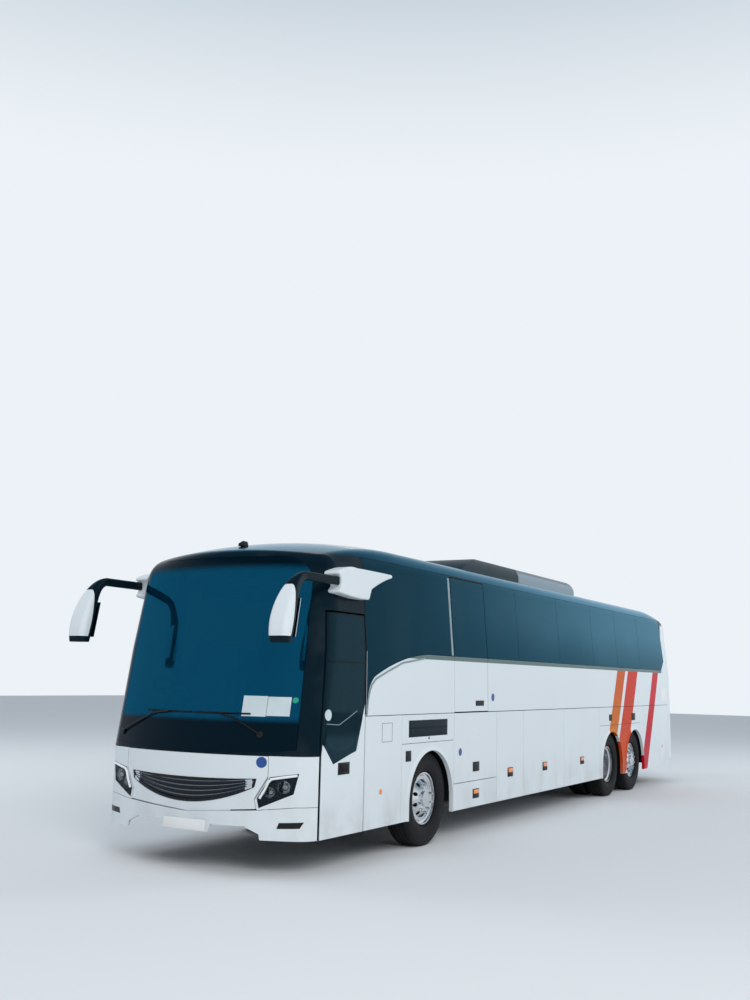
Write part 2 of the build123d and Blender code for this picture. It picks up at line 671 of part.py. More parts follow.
def door_arm():
    """Upright post in the front corner of the doorway with two bent arms to the leaf."""
    post_low, post_high = STEP_LOW + SEAT_GAP, ARM_HEIGHTS[-1][0] + 80
    shape = Pos(ARM_PIVOT[0], at(ARM_PIVOT[1]), (post_low + post_high) / 2) * Cylinder(POST_RADIUS, post_high - post_low)
    for z, _ in ARM_HEIGHTS:
        path = FilletPolyline(*[(x, at(d), z) for x, d in (ARM_PIVOT, ARM_BULGE, ARM_END)], radius=120)
        start = Plane(origin=path @ 0, z_dir=path % 0)
        arm = sweep(start * Rectangle(ARM_SIZE, ARM_SIZE), path=path)
        eye = Pos(ARM_END[0], at(ARM_END[1]), z) * Cylinder(24, ARM_SIZE)
        hole = Pos(ARM_END[0], at(ARM_END[1]), z) * Cylinder(PIN_RADIUS + PIN_GAP, ARM_SIZE + 2)
        shape = shape + arm + eye - hole
    save("door_arm", shape)


def locker_rows(side):
    """Rows of node name, (front, rear) stations and (low, high) heights of the flaps on a flank."""
    name = "left" if side == 1 else "right"
    rows = []
    front = LOCKER_START
    for number, rear in enumerate(LOCKER_SEAMS, start=1):
        low = LIFT_FLAP_TOP + GAP / 2 if side == 1 and number == 1 else SKIRT_Z
        rows.append((f"locker_{name}_{number}", (front + GAP / 2, rear - GAP / 2), (low, WAIST_Z - GAP / 2)))
        front = rear
    if side == 1:
        rows.append(("lift_flap", (LOCKER_START + GAP / 2, LIFT_LOCKER_END - GAP / 2),
                     (SKIRT_Z, LIFT_FLAP_TOP - GAP / 2)))
    return rows


def lockers():
    for _, side in SIDES:
        for name, station, z in locker_rows(side):
            save(name, skin(0, PANEL, side_prism(side, rectangle(station, z))))


def lift_door():
    low, high = WAIST_Z + LINE + GAP, CORNICE_Z - 20 - GAP
    front, rear = LIFT_DOOR_FRONT + GAP / 2, LIFT_DOOR_REAR - GAP
    pane = rectangle((front + 2, rear - 2), (SILL_Z, high - 2))
    leaf = skin(0, WALL, side_prism(1, rectangle((front, rear), (low, high))))
    leaf = leaf - rebate(side_prism(1, pane), GLASS + SEAT_GAP) - side_prism(1, grown(pane, -55))
    save("lift_door", leaf)
    save("lift_door_glass", skin(0, GLASS, side_prism(1, pane)))


# Running gear

@lru_cache(maxsize=None)
def tyre():
    """Tyre as a many-sided ring that stands on one of its flats, with shoulders and bulging sidewalls."""
    half = TYRE_WIDTH / 2
    turn = 180 / TYRE_SIDES

    def section(place, radius):
        ring = Plane((place, 0, 0), x_dir=(0, 0, 1), z_dir=(1, 0, 0))
        shape = RegularPolygon(radius, TYRE_SIDES, major_radius=False, rotation=turn)
        return ring * shape

    outer = loft([section(share * half, radius) for share, radius in TYRE_SECTIONS], ruled=True)
    bore = extrude(section(-half, RIM_RADIUS), amount=2 * half)
    return outer - bore


def rim(x, side, dish):
    """Disc wheel: flanged well and a dished disc with hand holes; dish is the disc's place outwards."""
    half = TYRE_WIDTH * 0.36
    seat, well, sheet = RIM_RADIUS - SEAT_GAP, RIM_RADIUS - 34, RIM_SHEET
    way = 1 if dish > 0 else -1
    near, rise = dish + way * DISC_RISE, dish
    barrel = outline([(-half, seat, 0), (-half + 34, seat, 0), (-half + 50, well, 0), (half - 50, well, 0),
                      (half - 34, seat, 0), (half, seat, 0), (half, seat - sheet, 0), (half - 28, seat - sheet, 0),
                      (half - 44, well - sheet, 0), (-half + 44, well - sheet, 0), (-half + 28, seat - sheet, 0),
                      (-half, seat - sheet, 0)])
    disc = outline([(near, HUB_BORE, 0), (near, 170, 0), (rise, 215, 0), (rise, well - sheet / 2, 0),
                    (rise + way * DISC_SHEET, well - sheet / 2, 0), (rise + way * DISC_SHEET, 213, 0),
                    (near + way * DISC_SHEET, 164, 0), (near + way * DISC_SHEET, HUB_BORE, 0)])
    shape = revolve(barrel, axis=Axis.X) + revolve(disc, axis=Axis.X)
    for number in range(HAND_HOLES):
        hole = Rot(number * 360 / HAND_HOLES, 0, 0) * Pos(dish, 0, HAND_HOLE_RING) * Rot(0, 90, 0) * Cylinder(HAND_HOLE_RADIUS, 140)
        shape = shape - hole
    return Pos(side * x, 0, 0) * shape


HUB_BORE = 60.0
# tyre: number of flats, and rows of the share of half its width and the radius there
TYRE_SIDES = 48
TYRE_SECTIONS = ((-0.78, RIM_RADIUS + 14.0), (-1.0, 400.0), (-0.94, 488.0), (-0.78, TYRE_RADIUS), (0.78, TYRE_RADIUS),
                 (0.94, 488.0), (1.0, 400.0), (0.78, RIM_RADIUS + 14.0))
RIM_SHEET = 14.0
DISC_SHEET = 14.0
DISC_RISE = 46.0
DISH = 60.0
HUB_CAP = 85.0
HAND_HOLES = 10
HAND_HOLE_RING = 190.0
HAND_HOLE_RADIUS = 22.0
BEARING_GAP = 0.1
SPINDLE_RADIUS = 45.0


def wheels():
    """Rows of name, station, whether it is a twin."""
    for name, side in SIDES:
        for axle, station, twin in (("front", FRONT_AXLE, False), ("drive", DRIVE_AXLE, True), ("tag", TAG_AXLE, False)):
            place = Pos(0, at(station), HUB_Z)
            dish = side * (-DISH if twin else DISH)
            tyres = [Pos(side * TYRE_X, 0, 0) * tyre()]
            rims = rim(TYRE_X, side, dish)
            hub_low, hub_high, radius = KINGPIN_X + 55, TYRE_X + DISH + DISC_RISE + DISC_SHEET / 2, 110
            if twin:
                tyres.append(Pos(side * (TYRE_X - TWIN_SPACING), 0, 0) * tyre())
                rims = rims + rim(TYRE_X - TWIN_SPACING, side, side * DISH)
                hub_low, hub_high, radius = TYRE_X - TWIN_SPACING + 40, TYRE_X - 10, 130
            hub = rod_x(radius, (side * hub_low, side * hub_high), 0, 0)
            hub = Pos(0, -at(0), 0) * (hub + rod_x(HUB_CAP, (side * (hub_high - 5), side * (hub_high + 26)), 0, 0))
            bore_low = TYRE_X - (TWIN_SPACING if twin else 0) - 200
            bore_high = TYRE_X + 20
            bore = Pos(side * (bore_low + bore_high) / 2, 0, 0) * Rot(0, 90, 0) * Cylinder(
                SPINDLE_RADIUS + BEARING_GAP, bore_high - bore_low)
            rims = rims + hub - bore
            save(f"{axle}_tyre_{name}", [place * item for item in tyres])
            save(f"{axle}_rim_{name}", place * rims)


def knuckles():
    """Steered knuckles: an upright round the kingpin and the spindle that the wheel turns on."""
    for axle, station in (("front", FRONT_AXLE), ("tag", TAG_AXLE)):
        for name, side in SIDES:
            pin_x = side * KINGPIN_X
            upright = Pos(pin_x, at(station), HUB_Z) * Cylinder(52, 2 * KNUCKLE_HALF)
            hole = Pos(pin_x, at(station), HUB_Z) * Cylinder(KINGPIN_RADIUS + BEARING_GAP, 2 * KNUCKLE_HALF + 2)
            spindle = rod_x(SPINDLE_RADIUS, (pin_x, side * (TYRE_X + 10)), station, HUB_Z)
            arm = box((pin_x - 16, pin_x + 16), (station + 30, station + 180), (HUB_Z - 90, HUB_Z - 60))
            save(f"{axle}_knuckle_{name}", upright + spindle + arm - hole)


KNUCKLE_HALF = 95.0
KINGPIN_RADIUS = 25.0
KINGPIN_LUG = 34.0


def axles():
    """Front and tag beams forked round the knuckles, and the driven axle with its differential."""
    low = HUB_Z - KNUCKLE_HALF
    beams = []
    for station in (FRONT_AXLE, TAG_AXLE):
        beam = box((-KINGPIN_X + 75, KINGPIN_X - 75), (station - 50, station + 50), (low - 60, low + 30))
        for side in (1, -1):
            pin_x = side * KINGPIN_X
            column = sorted((side * (KINGPIN_X - 130), side * (KINGPIN_X - 80)))
            beam = beam + box(column, (station - 50, station + 50), (low - 40, HUB_Z + KNUCKLE_HALF + 40))
            for z in (low - 21, HUB_Z + KNUCKLE_HALF + 21):
                web = box(sorted((side * (KINGPIN_X - 100), pin_x)), (station - 50, station + 50), (z - 17, z + 17))
                beam = beam + Pos(pin_x, at(station), z) * Cylinder(50, KINGPIN_LUG) + web
            beam = beam + Pos(pin_x, at(station), HUB_Z) * Cylinder(KINGPIN_RADIUS, 2 * KNUCKLE_HALF + 30)
            post_x = (side * RAIL_X - 50, side * RAIL_X + 50)
            beam = beam + box(post_x, (station - 50, station + 50), (low - 60, RAIL_LOW - SEAT_GAP))
        beams.append(beam)
    inner = TYRE_X - TWIN_SPACING - 205
    pot = Pos(0, at(DRIVE_AXLE), HUB_Z) * Rot(90, 0, 0) * Cylinder(200, 330)
    drive = rod_x(75, (-inner, inner), DRIVE_AXLE, HUB_Z) + pot
    for side in (1, -1):
        drive = drive + rod_x(SPINDLE_RADIUS, (side * (inner - 50), side * (TYRE_X + 10)), DRIVE_AXLE, HUB_Z)
        post_x = (side * RAIL_X - 50, side * RAIL_X + 50)
        drive = drive + box(post_x, (DRIVE_AXLE - 60, DRIVE_AXLE + 60), (HUB_Z, RAIL_LOW - SEAT_GAP))
    save("axles", beams + [drive])


RAIL_X = 430.0
RAIL_LOW = 760.0
RAIL_HIGH = 960.0
RAIL_HALF = 35.0
HOLD_FLOOR = 400.0
HOLD_FRONT = LOCKER_START + 45.0
HOLD_REAR = LOCKER_END - 45.0
BRACKET_LOW = 470.0
ENGINE = ((-450.0, 450.0), (TAG_AXLE + 750.0, LENGTH - 350.0), (480.0, 1330.0))


def chassis():
    """Rails at the front and the rear, joined under the luggage hold, with cross members."""
    shape = None
    for side in (1, -1):
        x = (side * RAIL_X - RAIL_HALF, side * RAIL_X + RAIL_HALF)
        runs = (
            ((300.0, HOLD_FRONT), (RAIL_LOW, RAIL_HIGH)),
            ((HOLD_REAR, LENGTH - 330), (RAIL_LOW, RAIL_HIGH)),
            ((HOLD_FRONT - 70, HOLD_REAR + 70), (HOLD_FLOOR - 90, HOLD_FLOOR - SHEET)),
            ((HOLD_FRONT - 70, HOLD_FRONT - SEAT_GAP), (HOLD_FLOOR - 90, RAIL_HIGH)),
            ((HOLD_REAR + SEAT_GAP, HOLD_REAR + 70), (HOLD_FLOOR - 90, RAIL_HIGH)),
        )
        for station, z in runs:
            piece = box(x, station, z)
            shape = piece if shape is None else shape + piece
    for station in (340.0, 1500.0, FRONT_AXLE - 700, LENGTH - 370):
        shape = shape + box((-RAIL_X, RAIL_X), (station - 40, station + 40), (RAIL_LOW + 30, RAIL_HIGH - 30))
    for side in (1, -1):
        x = (side * RAIL_X - RAIL_HALF, side * RAIL_X + RAIL_HALF)
        shape = shape + box(x, (300, 370), (BRACKET_LOW, RAIL_LOW + 20))
        shape = shape + (box(x, (0, 320), (BRACKET_LOW, BRACKET_LOW + 50)) & low_front(PANEL + SEAT_GAP))
    return shape


def under_body():
    engine = box(*ENGINE)
    bay = box(*[(low - SEAT_GAP, high + SEAT_GAP) for low, high in ENGINE])
    save("chassis_frame", chassis() - bay)
    save("engine_block", engine)
    housings = []
    for station in (FRONT_AXLE, DRIVE_AXLE, TAG_AXLE):
        for side in (1, -1):
            x = (side * HOUSING_INNER, side * (HALF_WIDTH - PANEL - SEAT_GAP))
            ring = rod_x(HOUSING_RADIUS, x, station, ARCH_Z) - rod_x(HOUSING_RADIUS - SHEET, x, station, ARCH_Z)
            wall = rod_x(HOUSING_RADIUS, (x[0], x[0] + side * SHEET), station, ARCH_Z)
            hole = rod_x(250, (x[0] - 50, x[0] + 50), station, HUB_Z)
            slot = side_box(side, (HOUSING_INNER - 50, HOUSING_INNER + 50), (station - 250, station + 250), (0, HUB_Z))
            upper = side_box(side, (0, 1400), (station - 700, station + 700), (ARCH_Z - 60, 1400))
            housings.append((ring + (wall - hole - slot)) & upper)
    save("wheel_housings", housings)
    save("floor", floor())
    save("entrance_steps", entrance_steps())
    sides = HALF_WIDTH - PANEL - SEAT_GAP
    tray = box((-sides, sides), (HOLD_FRONT, HOLD_REAR), (HOLD_FLOOR - SHEET, HOLD_FLOOR))
    for station in ((HOLD_FRONT, HOLD_FRONT + SHEET), (HOLD_REAR - SHEET, HOLD_REAR)):
        tray = tray + box((-sides, sides), station, (HOLD_FLOOR - SHEET, FLOOR_Z - SEAT_GAP))
    for seam in LOCKER_SEAMS[:-1]:
        for side in (1, -1):
            tray = tray + side_box(side, (sides - 40, sides), (seam - 25, seam + 25), (HOLD_FLOOR, FLOOR_Z - SEAT_GAP))
    for side in (1, -1):
        lip = side_box(side, (HALF_WIDTH - WALL - SEAT_GAP, HALF_WIDTH), (HOLD_FRONT - SHEET, HOLD_REAR + SHEET),
                       (WAIST_Z - LIP - SEAT_GAP, FLOOR_Z))
        tray = tray - lip
    save("luggage_hold", tray)


def floor():
    """Saloon floor and the lower cab floor, with the riser between them."""
    step_rear = DOOR_REAR + STEP_BEHIND
    edge = HALF_WIDTH - WALL - SEAT_GAP
    saloon = box((-edge, edge), (step_rear, LENGTH - 520), (FLOOR_Z, FLOOR_Z + DECK))
    cab = box((-1190, STEP_INNER), (480, step_rear), (CAB_FLOOR, CAB_FLOOR + DECK))
    riser = box((-1190, STEP_INNER), (step_rear, step_rear + DECK), (CAB_FLOOR, FLOOR_Z + DECK))
    return saloon + cab + riser


def entrance_steps():
    """Flight of steps behind the entrance door, with the wall behind it."""
    front, rear = DOOR_FRONT + 90, DOOR_REAR + STEP_BEHIND - SEAT_GAP
    edge = HALF_WIDTH - WALL - SEAT_GAP
    root = STEP_INNER + SEAT_GAP
    shape = box((root, edge), (rear, rear + DECK), (STEP_LOW - DECK, FLOOR_Z - SEAT_GAP))
    rise = (CAB_FLOOR + DECK - STEP_LOW) / STEP_TREADS
    for number in range(STEP_TREADS):
        z = STEP_LOW + number * rise
        outer = STEP_INNER + (STEP_TREADS - number) * STEP_GOING + (STEP_LANDING if number == 0 else 0)
        inner = root + (STEP_TREADS - 1 - number) * STEP_GOING
        tread = box((root, outer), (front, rear), (z - DECK, z))
        back = box((inner, inner + STEP_BACK), (front, rear), (z - DECK, z + rise))
        shape = shape + tread + back
    return shape


DECK = 30.0
STEP_INNER = 560.0
STEP_GOING = 165.0
STEP_LANDING = 90.0
CAB_FLOOR = 1000.0
STEP_LOW = 400.0
STEP_TREADS = 3
STEP_BACK = 12.0
STEP_BEHIND = 10.0


# Inside the cabin

SEAT_PITCH = 800.0
SEAT_ROWS_START = 2350.0
DRIVER_SEAT = 750.0


def seat(x, station, base=FLOOR_Z + 30):
    """Pair of seats on one pedestal: cushion and back as one closed outline, seen from the side."""
    points = [(0, base + 330), (0, base + 470), (430, base + 440), (550, base + 1120), (640, base + 1120),
              (560, base + 330), (400, base + 330), (400, base + SEAT_GAP), (200, base + SEAT_GAP), (200, base + 330)]
    face = outline([(x - 440, at(station + s), z) for s, z in points])
    return extrude(face, amount=880, dir=(1, 0, 0))


def cabin():
    seats = []
    station = SEAT_ROWS_START
    while station < LENGTH - 1300:
        for side in (1, -1):
            seats.append(seat(side * 720, station))
        station += SEAT_PITCH
    face = outline([(-900, at(DRIVER_SEAT + s), z) for s, z in (
        (-60, CAB_FLOOR + 330), (-60, CAB_FLOOR + 460), (380, CAB_FLOOR + 440), (480, CAB_FLOOR + 1200),
        (570, CAB_FLOOR + 1200), (500, CAB_FLOOR + 330), (360, CAB_FLOOR + 330), (360, CAB_FLOOR + 30 + SEAT_GAP),
        (80, CAB_FLOOR + 30 + SEAT_GAP), (80, CAB_FLOOR + 330))])
    seats.append(extrude(face, amount=500, dir=(1, 0, 0)))
    save("seats", seats)
    dash = body(WALL + SEAT_GAP) & front_prism([(-1150, 1005), (1060, 1005), (1060, 1250), (300, 1270), (-1150, 1330)], depth=620)
    dash = dash - box((-1400, 1400), (430, 900), (900, 1400)) - side_box(1, (1010, 1400), (-100, 900), (900, 1400))
    wheel = Torus(220, 16)
    spokes = Box(430, 30, 14) + Cylinder(45, 40) + Pos(0, 0, -290) * Cylinder(28, 560)
    save("dashboard", dash + Pos(-650, at(540), 1700) * Rot(-28, 0, 0) * (wheel + spokes))
    racks = []
    for side in (1, -1):
        face = outline([(side * 1220, at(DOOR_REAR + 300), 2735), (side * 780, at(DOOR_REAR + 300), 2770),
                        (side * 760, at(DOOR_REAR + 300), 2860), (side * 1220, at(DOOR_REAR + 300), 3040)])
        rack = extrude(face, amount=LENGTH - 1300 - DOOR_REAR - 300, dir=(0, 1, 0))
        rack = rack & body(WALL + SEAT_GAP)
        if side == 1:
            stop = side_prism(side, grown(LIFT_DOORWAY, DOOR_STOP + SEAT_GAP), inner=700)
            rack = rack - rebate(stop, WALL + SHEET + SEAT_GAP)
        racks.append(rack)
    save("luggage_racks", racks)


# Outside fittings

# mirror: rows of X, station and Z of the middle, turn of the section's plane in degrees, width and depth
MIRROR_ROOT = (1280.0, 640.0, 2812.0, 0.0, 50.0, 86.0)
MIRROR_ELBOW = (1262.0, 80.0, 2812.0, 0.0, 50.0, 86.0)
MIRROR_HEAD = ((1252.0, -90.0, 2722.0, 47.0, 120.0, 112.0), (1246.0, -197.0, 2560.0, 64.0, 196.0, 136.0),
               (1245.0, -271.2, 2330.0, 78.0, 226.0, 168.0), (1245.0, -285.2, 2165.0, 90.0, 200.0, 130.0))
MIRROR_ROUND = 0.36
# the flat that the glass lies on: rows of station and Z, low and high
MIRROR_FLAT = ((-196.0, 2190.0), (-106.0, 2640.0))
MIRROR_X = (1146.0, 1344.0)
MIRROR_PANE = 6.0
# fairing: tips and bends of its outline in station and Z, and half chords of its swell in X and station
FAIRING = ((565.0, 2884.0), (700.0, 2944.0), (960.0, 2968.0), (2150.0, 2984.0), (1640.0, 2897.0), (1290.0, 2775.0),
           (1232.0, 2662.0), (900.0, 2664.0), (565.0, 2702.0), (655.0, 2793.0))
FAIRING_PLAN = ((1325.0, 540.0), (1322.0, 1150.0), (1202.0, 2160.0))
FAIRING_EDGE = 16.0
FAIRING_TIP = 20.0


def mirror_section(side, row, margin=0.0):
    """Rounded section of a mirror arm or head, across its run."""
    x, station, z, turn, width, depth = row
    run = radians(turn)
    plane = Plane((side * x, at(station), z), x_dir=(1, 0, 0), z_dir=(0, -cos(run), -sin(run)))
    width, depth = width + 2 * margin, depth + 2 * margin
    return plane * RectangleRounded(width, depth, min(width, depth) * MIRROR_ROUND)


def fairing(side):
    """Wing-shaped cover that an arm comes out of, tapering to a tip behind."""
    def p(number):
        station, z = FAIRING[number]
        return (side * 1150.0, at(station), z)

    face = make_face([
        ThreePointArc(p(0), p(1), p(2)), Line(p(2), p(3)), ThreePointArc(p(3), p(4), p(5)), Line(p(5), p(6)),
        ThreePointArc(p(6), p(7), p(8)), ThreePointArc(p(8), p(9), p(0)),
    ])
    face = fillet(face.vertices(), FAIRING_TIP)
    foot = 2500.0
    outer = [(side * x, at(station), foot) for x, station in FAIRING_PLAN]
    inner = [(side * 1100.0, y, foot) for _, y, _ in (outer[-1], outer[0])]
    plan = make_face([ThreePointArc(*outer), Line(outer[2], inner[0]), Line(*inner), Line(inner[1], outer[0])])
    form = extrude(face, amount=400, dir=(side, 0, 0)) & extrude(plan, amount=600, dir=(0, 0, 1))
    rim = form.faces().sort_by(Axis.X)[-1 if side == 1 else 0].edges()
    return fillet(rim, FAIRING_EDGE)


def mirrors():
    arms, glasses, fairings = [], [], []
    for _, side in SIDES:
        arm = loft([mirror_section(side, MIRROR_ROOT), mirror_section(side, MIRROR_ELBOW)], ruled=True)
        head = loft([mirror_section(side, row) for row in (MIRROR_ELBOW, *MIRROR_HEAD)])
        (low_s, low_z), (high_s, high_z) = MIRROR_FLAT
        run = sqrt((high_s - low_s) ** 2 + (high_z - low_z) ** 2)
        along = ((high_s - low_s) / run, (high_z - low_z) / run)
        out = (along[1], -along[0])

        def p(x, distance, height):
            return (side * x, at(low_s + distance * along[0] + height * out[0]),
                    low_z + distance * along[1] + height * out[1])

        behind = extrude(outline([p(1100, -200, 0), p(1100, run, 0), p(1100, run, 200), p(1100, -200, 200)]),
                         amount=300, dir=(side, 0, 0))
        arms.append(arm + (head - behind))
        corners = ((30, SEAT_GAP), (30, SEAT_GAP + MIRROR_PANE), (run - 60, SEAT_GAP + MIRROR_PANE), (run - 60, SEAT_GAP))
        pane = outline([p(MIRROR_X[0], *corner) for corner in corners])
        glasses.append(extrude(pane, amount=MIRROR_X[1] - MIRROR_X[0], dir=(side, 0, 0)))
        socket = loft([mirror_section(side, MIRROR_ROOT, SEAT_GAP), mirror_section(side, MIRROR_ELBOW, SEAT_GAP)],
                      ruled=True)
        fairings.append(fairing(side) - body(-SEAT_GAP) - socket)
    save("mirror_arms", arms)
    save("mirror_glass", glasses)
    save("mirror_fairings", fairings)


# air conditioner: rows of station and Z along its middle (foot, bend, top, top, bend, foot), and of X and Z across
UNIT_FRONT = ((4640.0, 3330.0), (4960.0, 3478.0), (5420.0, 3548.0), (6560.0, 3562.0), (6655.0, 3535.0),
              (6690.0, 3440.0))
UNIT_REAR = ((6700.0, 3440.0), (6722.0, 3540.0), (6800.0, 3582.0), (8900.0, 3592.0), (9110.0, 3545.0),
             (9220.0, 3330.0))
UNIT_ACROSS = ((800.0, 3400.0), (762.0, 3495.0), (650.0, 3552.0), (0.0, 3598.0))
UNIT_FOOT = 3200.0


def roof_unit():
    """Air conditioner: a low domed front cover and a longer rear casing, arched across."""
    eave, shoulder, bend, top = UNIT_ACROSS
    y = at(UNIT_FRONT[0][0] - 50)
    right, left = [[(way * x, y, z) for x, z in UNIT_ACROSS] for way in (1, -1)]
    feet = [(eave[0], y, UNIT_FOOT), (-eave[0], y, UNIT_FOOT)]
    arch = make_face([
        Line(feet[0], right[0]), ThreePointArc(*right[:3]), ThreePointArc(right[2], right[3], left[2]),
        ThreePointArc(left[2], left[1], left[0]), Line(left[0], feet[1]), Line(feet[1], feet[0]),
    ])
    arch = extrude(arch, amount=UNIT_REAR[-1][0] - UNIT_FRONT[0][0] + 100, dir=(0, 1, 0))
    pieces = []
    for rows in (UNIT_FRONT, UNIT_REAR):
        a, b, c, d, e, f = [(-1000.0, at(station), z) for station, z in rows]
        feet = [(a[0], a[1], UNIT_FOOT), (f[0], f[1], UNIT_FOOT)]
        face = make_face([Line(feet[0], a), ThreePointArc(a, b, c), Line(c, d), ThreePointArc(d, e, f),
                          Line(f, feet[1]), Line(feet[1], feet[0])])
        pieces.append((extrude(face, amount=2000, dir=(1, 0, 0)) & arch) - crown(-SEAT_GAP))
    save("air_conditioner", pieces)


def main():
    os.makedirs("parts", exist_ok=True)
    front_pieces()
    glass_pieces()
    front_frame()
    for name, side in SIDES:
        side_wall(name, side)
    skirts()
    roof_and_rear()
    entrance_door()
    door_arm()
    lockers()
    lift_door()
    wheels()
    knuckles()
    axles()
    under_body()
    cabin()
    mirrors()
    roof_unit()


main()
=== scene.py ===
# %% [markdown]
# This lesson dresses a three-axle touring coach. The CAD frame already holds every panel, pane, wheel and
# door at its real size, so nothing here moves them. Each visible surface gets a finish, and the small trim
# that a coach builder clips, screws or glues on is modelled around the panels. A piece could be placed by
# eye, but one that takes its place from the frame sits on its panel seen from any side, and follows it when
# a door opens.

# %% Load the frame
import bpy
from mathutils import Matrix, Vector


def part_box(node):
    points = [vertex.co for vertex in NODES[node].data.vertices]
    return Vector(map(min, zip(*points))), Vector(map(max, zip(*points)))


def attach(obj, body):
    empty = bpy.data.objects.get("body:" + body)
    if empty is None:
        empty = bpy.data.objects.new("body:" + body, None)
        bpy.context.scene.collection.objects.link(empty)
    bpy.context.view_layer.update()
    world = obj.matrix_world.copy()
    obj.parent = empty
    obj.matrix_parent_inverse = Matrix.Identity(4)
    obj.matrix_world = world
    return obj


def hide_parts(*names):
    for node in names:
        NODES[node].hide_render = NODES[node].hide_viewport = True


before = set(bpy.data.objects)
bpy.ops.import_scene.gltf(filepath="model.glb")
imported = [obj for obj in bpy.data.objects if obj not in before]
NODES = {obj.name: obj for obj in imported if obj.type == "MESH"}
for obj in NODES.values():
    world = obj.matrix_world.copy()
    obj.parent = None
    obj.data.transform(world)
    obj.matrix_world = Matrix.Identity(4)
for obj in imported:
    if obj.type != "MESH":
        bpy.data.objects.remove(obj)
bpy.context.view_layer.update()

# %% Names for the directions and the driving sizes
from math import cos, pi, radians, sin

import bpy
from mathutils import Matrix, Vector

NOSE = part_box("bumper_front")[0].y
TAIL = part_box("rear_wall")[1].y
HALF_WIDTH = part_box("locker_left_3")[1].x
WAIST_Z, SILL_Z = 1.47, 2.14
LOW_LEAN, SIDE_LEAN = 0.01045, 0.0815
SIDES = ("left", "right")
AXLES = {}
for axle in ("front", "drive", "tag"):
    tyre_low, tyre_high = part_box(f"{axle}_tyre_left")
    AXLES[axle] = (tyre_low.y + tyre_high.y) / 2
HUB_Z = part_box("front_tyre_left")[1].z / 2


def at(station):
    """Y of a distance behind the coach's nose."""
    return NOSE + station


print("length of the body", round(TAIL - NOSE, 3), "axles", {k: round(v, 3) for k, v in AXLES.items()})

# %% [markdown]
# Shader maths is easier to read as a formula than as a list of nodes. A wire carries one number through a
# material, and each operator on it adds the Math node that does the work. Nodes could be placed one by one
# with their links, but then a stripe that is one line of algebra takes twenty lines.

# %% A small language for materials
# sockets of the Mix node when it mixes colours
MIX_SHARE, MIX_FIRST, MIX_SECOND, MIX_RESULT = 0, 6, 7, 2


class Wire:
    """A number that flows through a tree's nodes."""

    def __init__(self, owner, socket):
        self.owner, self.socket = owner, socket

    def math(self, operation, *values):
        return self.owner.node("ShaderNodeMath", {"operation": operation}, *values)

    def __add__(self, other):
        return self.math("ADD", self, other)

    __radd__ = __add__

    def __sub__(self, other):
        return self.math("SUBTRACT", self, other)

    def __rsub__(self, other):
        return self.math("SUBTRACT", other, self)

    def __mul__(self, other):
        return self.math("MULTIPLY", self, other)

    __rmul__ = __mul__

    def size(self):
        return self.math("ABSOLUTE", self)

    def squared(self):
        return self * self

    def root(self):
        return self.math("SQRT", self)

    def wave(self):
        return self.math("SINE", self)

    def most(self, *others):
        """The highest of this wire and others."""
        highest = self
        for other in others:
            highest = self.math("MAXIMUM", highest, other)
        return highest

    def ramp(self, low, high):
        """0 below low, 1 above high and a soft step between."""
        soft_step = {"interpolation_type": "SMOOTHSTEP"}
        return self.owner.node("ShaderNodeMapRange", soft_step, self, low, high, 0.0, 1.0)

    def past(self, edge, soft=0.002):
        """0 before an edge and 1 past it, with a soft step across it."""
        return self.ramp(edge - soft, edge + soft)

    def band(self, low, high, soft=0.002):
        """1 between low and high, with soft edges."""
        return self.past(low, soft) * (1 - self.past(high, soft))


class NodeTree:
    """A tree of nodes with one way to add any of them."""

    def __init__(self, nodes_and_links):
        self.tree = nodes_and_links

    def node(self, kind, settings=(), *values, output=0, **named):
        """Add a node: its settings first, then a value or a wire for each of its sockets."""
        made = self.tree.nodes.new(kind)
        for key, value in dict(settings).items():
            setattr(made, key, value)
        for key, value in [*enumerate(values), *named.items()]:
            self.plug(made.inputs[key], value)
        return Wire(self, made.outputs[output])

    def plug(self, socket, value):
        if isinstance(value, Wire):
            self.tree.links.new(value.socket, socket)
        else:
            socket.default_value = value

    def blend(self, share, first, second):
        """Colour that goes from first to second with share."""
        made = self.tree.nodes.new("ShaderNodeMix")
        made.data_type = "RGBA"
        for index, value in ((MIX_SHARE, share), (MIX_FIRST, first), (MIX_SECOND, second)):
            if isinstance(value, tuple):
                value = (*value, 1.0)
            self.plug(made.inputs[index], value)
        return Wire(self, made.outputs[MIX_RESULT])


class Finish(NodeTree):
    """One material around a Principled shader."""

    def __init__(self, name, **constants):
        self.material = bpy.data.materials.new(name)
        self.material.use_nodes = True
        super().__init__(self.material.node_tree)
        self.shader = self.tree.nodes["Principled BSDF"]
        for socket, value in constants.items():
            self.feed(socket.replace("_", " "), value)

    def feed(self, socket, value):
        """Give one of the shader's sockets a value or a wire."""
        self.plug(self.shader.inputs[socket], value)

    def place(self, axes="XYZ"):
        """Object coordinates, a wire for each axis that is asked for."""
        spot = self.node("ShaderNodeTexCoord", output="Object")
        return [self.node("ShaderNodeSeparateXYZ", (), spot, output=axis) for axis in axes]

    def noise(self, scale, detail=3.0, stretch=(1.0, 1.0, 1.0)):
        """Cloudy values around a half, measured in metres on the object."""
        spot = self.node("ShaderNodeTexCoord", output="Object")
        spread = self.node("ShaderNodeMapping", (), spot, Scale=stretch)
        return self.node("ShaderNodeTexNoise", (), spread, Scale=scale, Detail=detail)

    def bump(self, height, strength, distance):
        relief = self.node("ShaderNodeBump", (), Strength=strength, Distance=distance, Height=height)
        self.feed("Normal", relief)


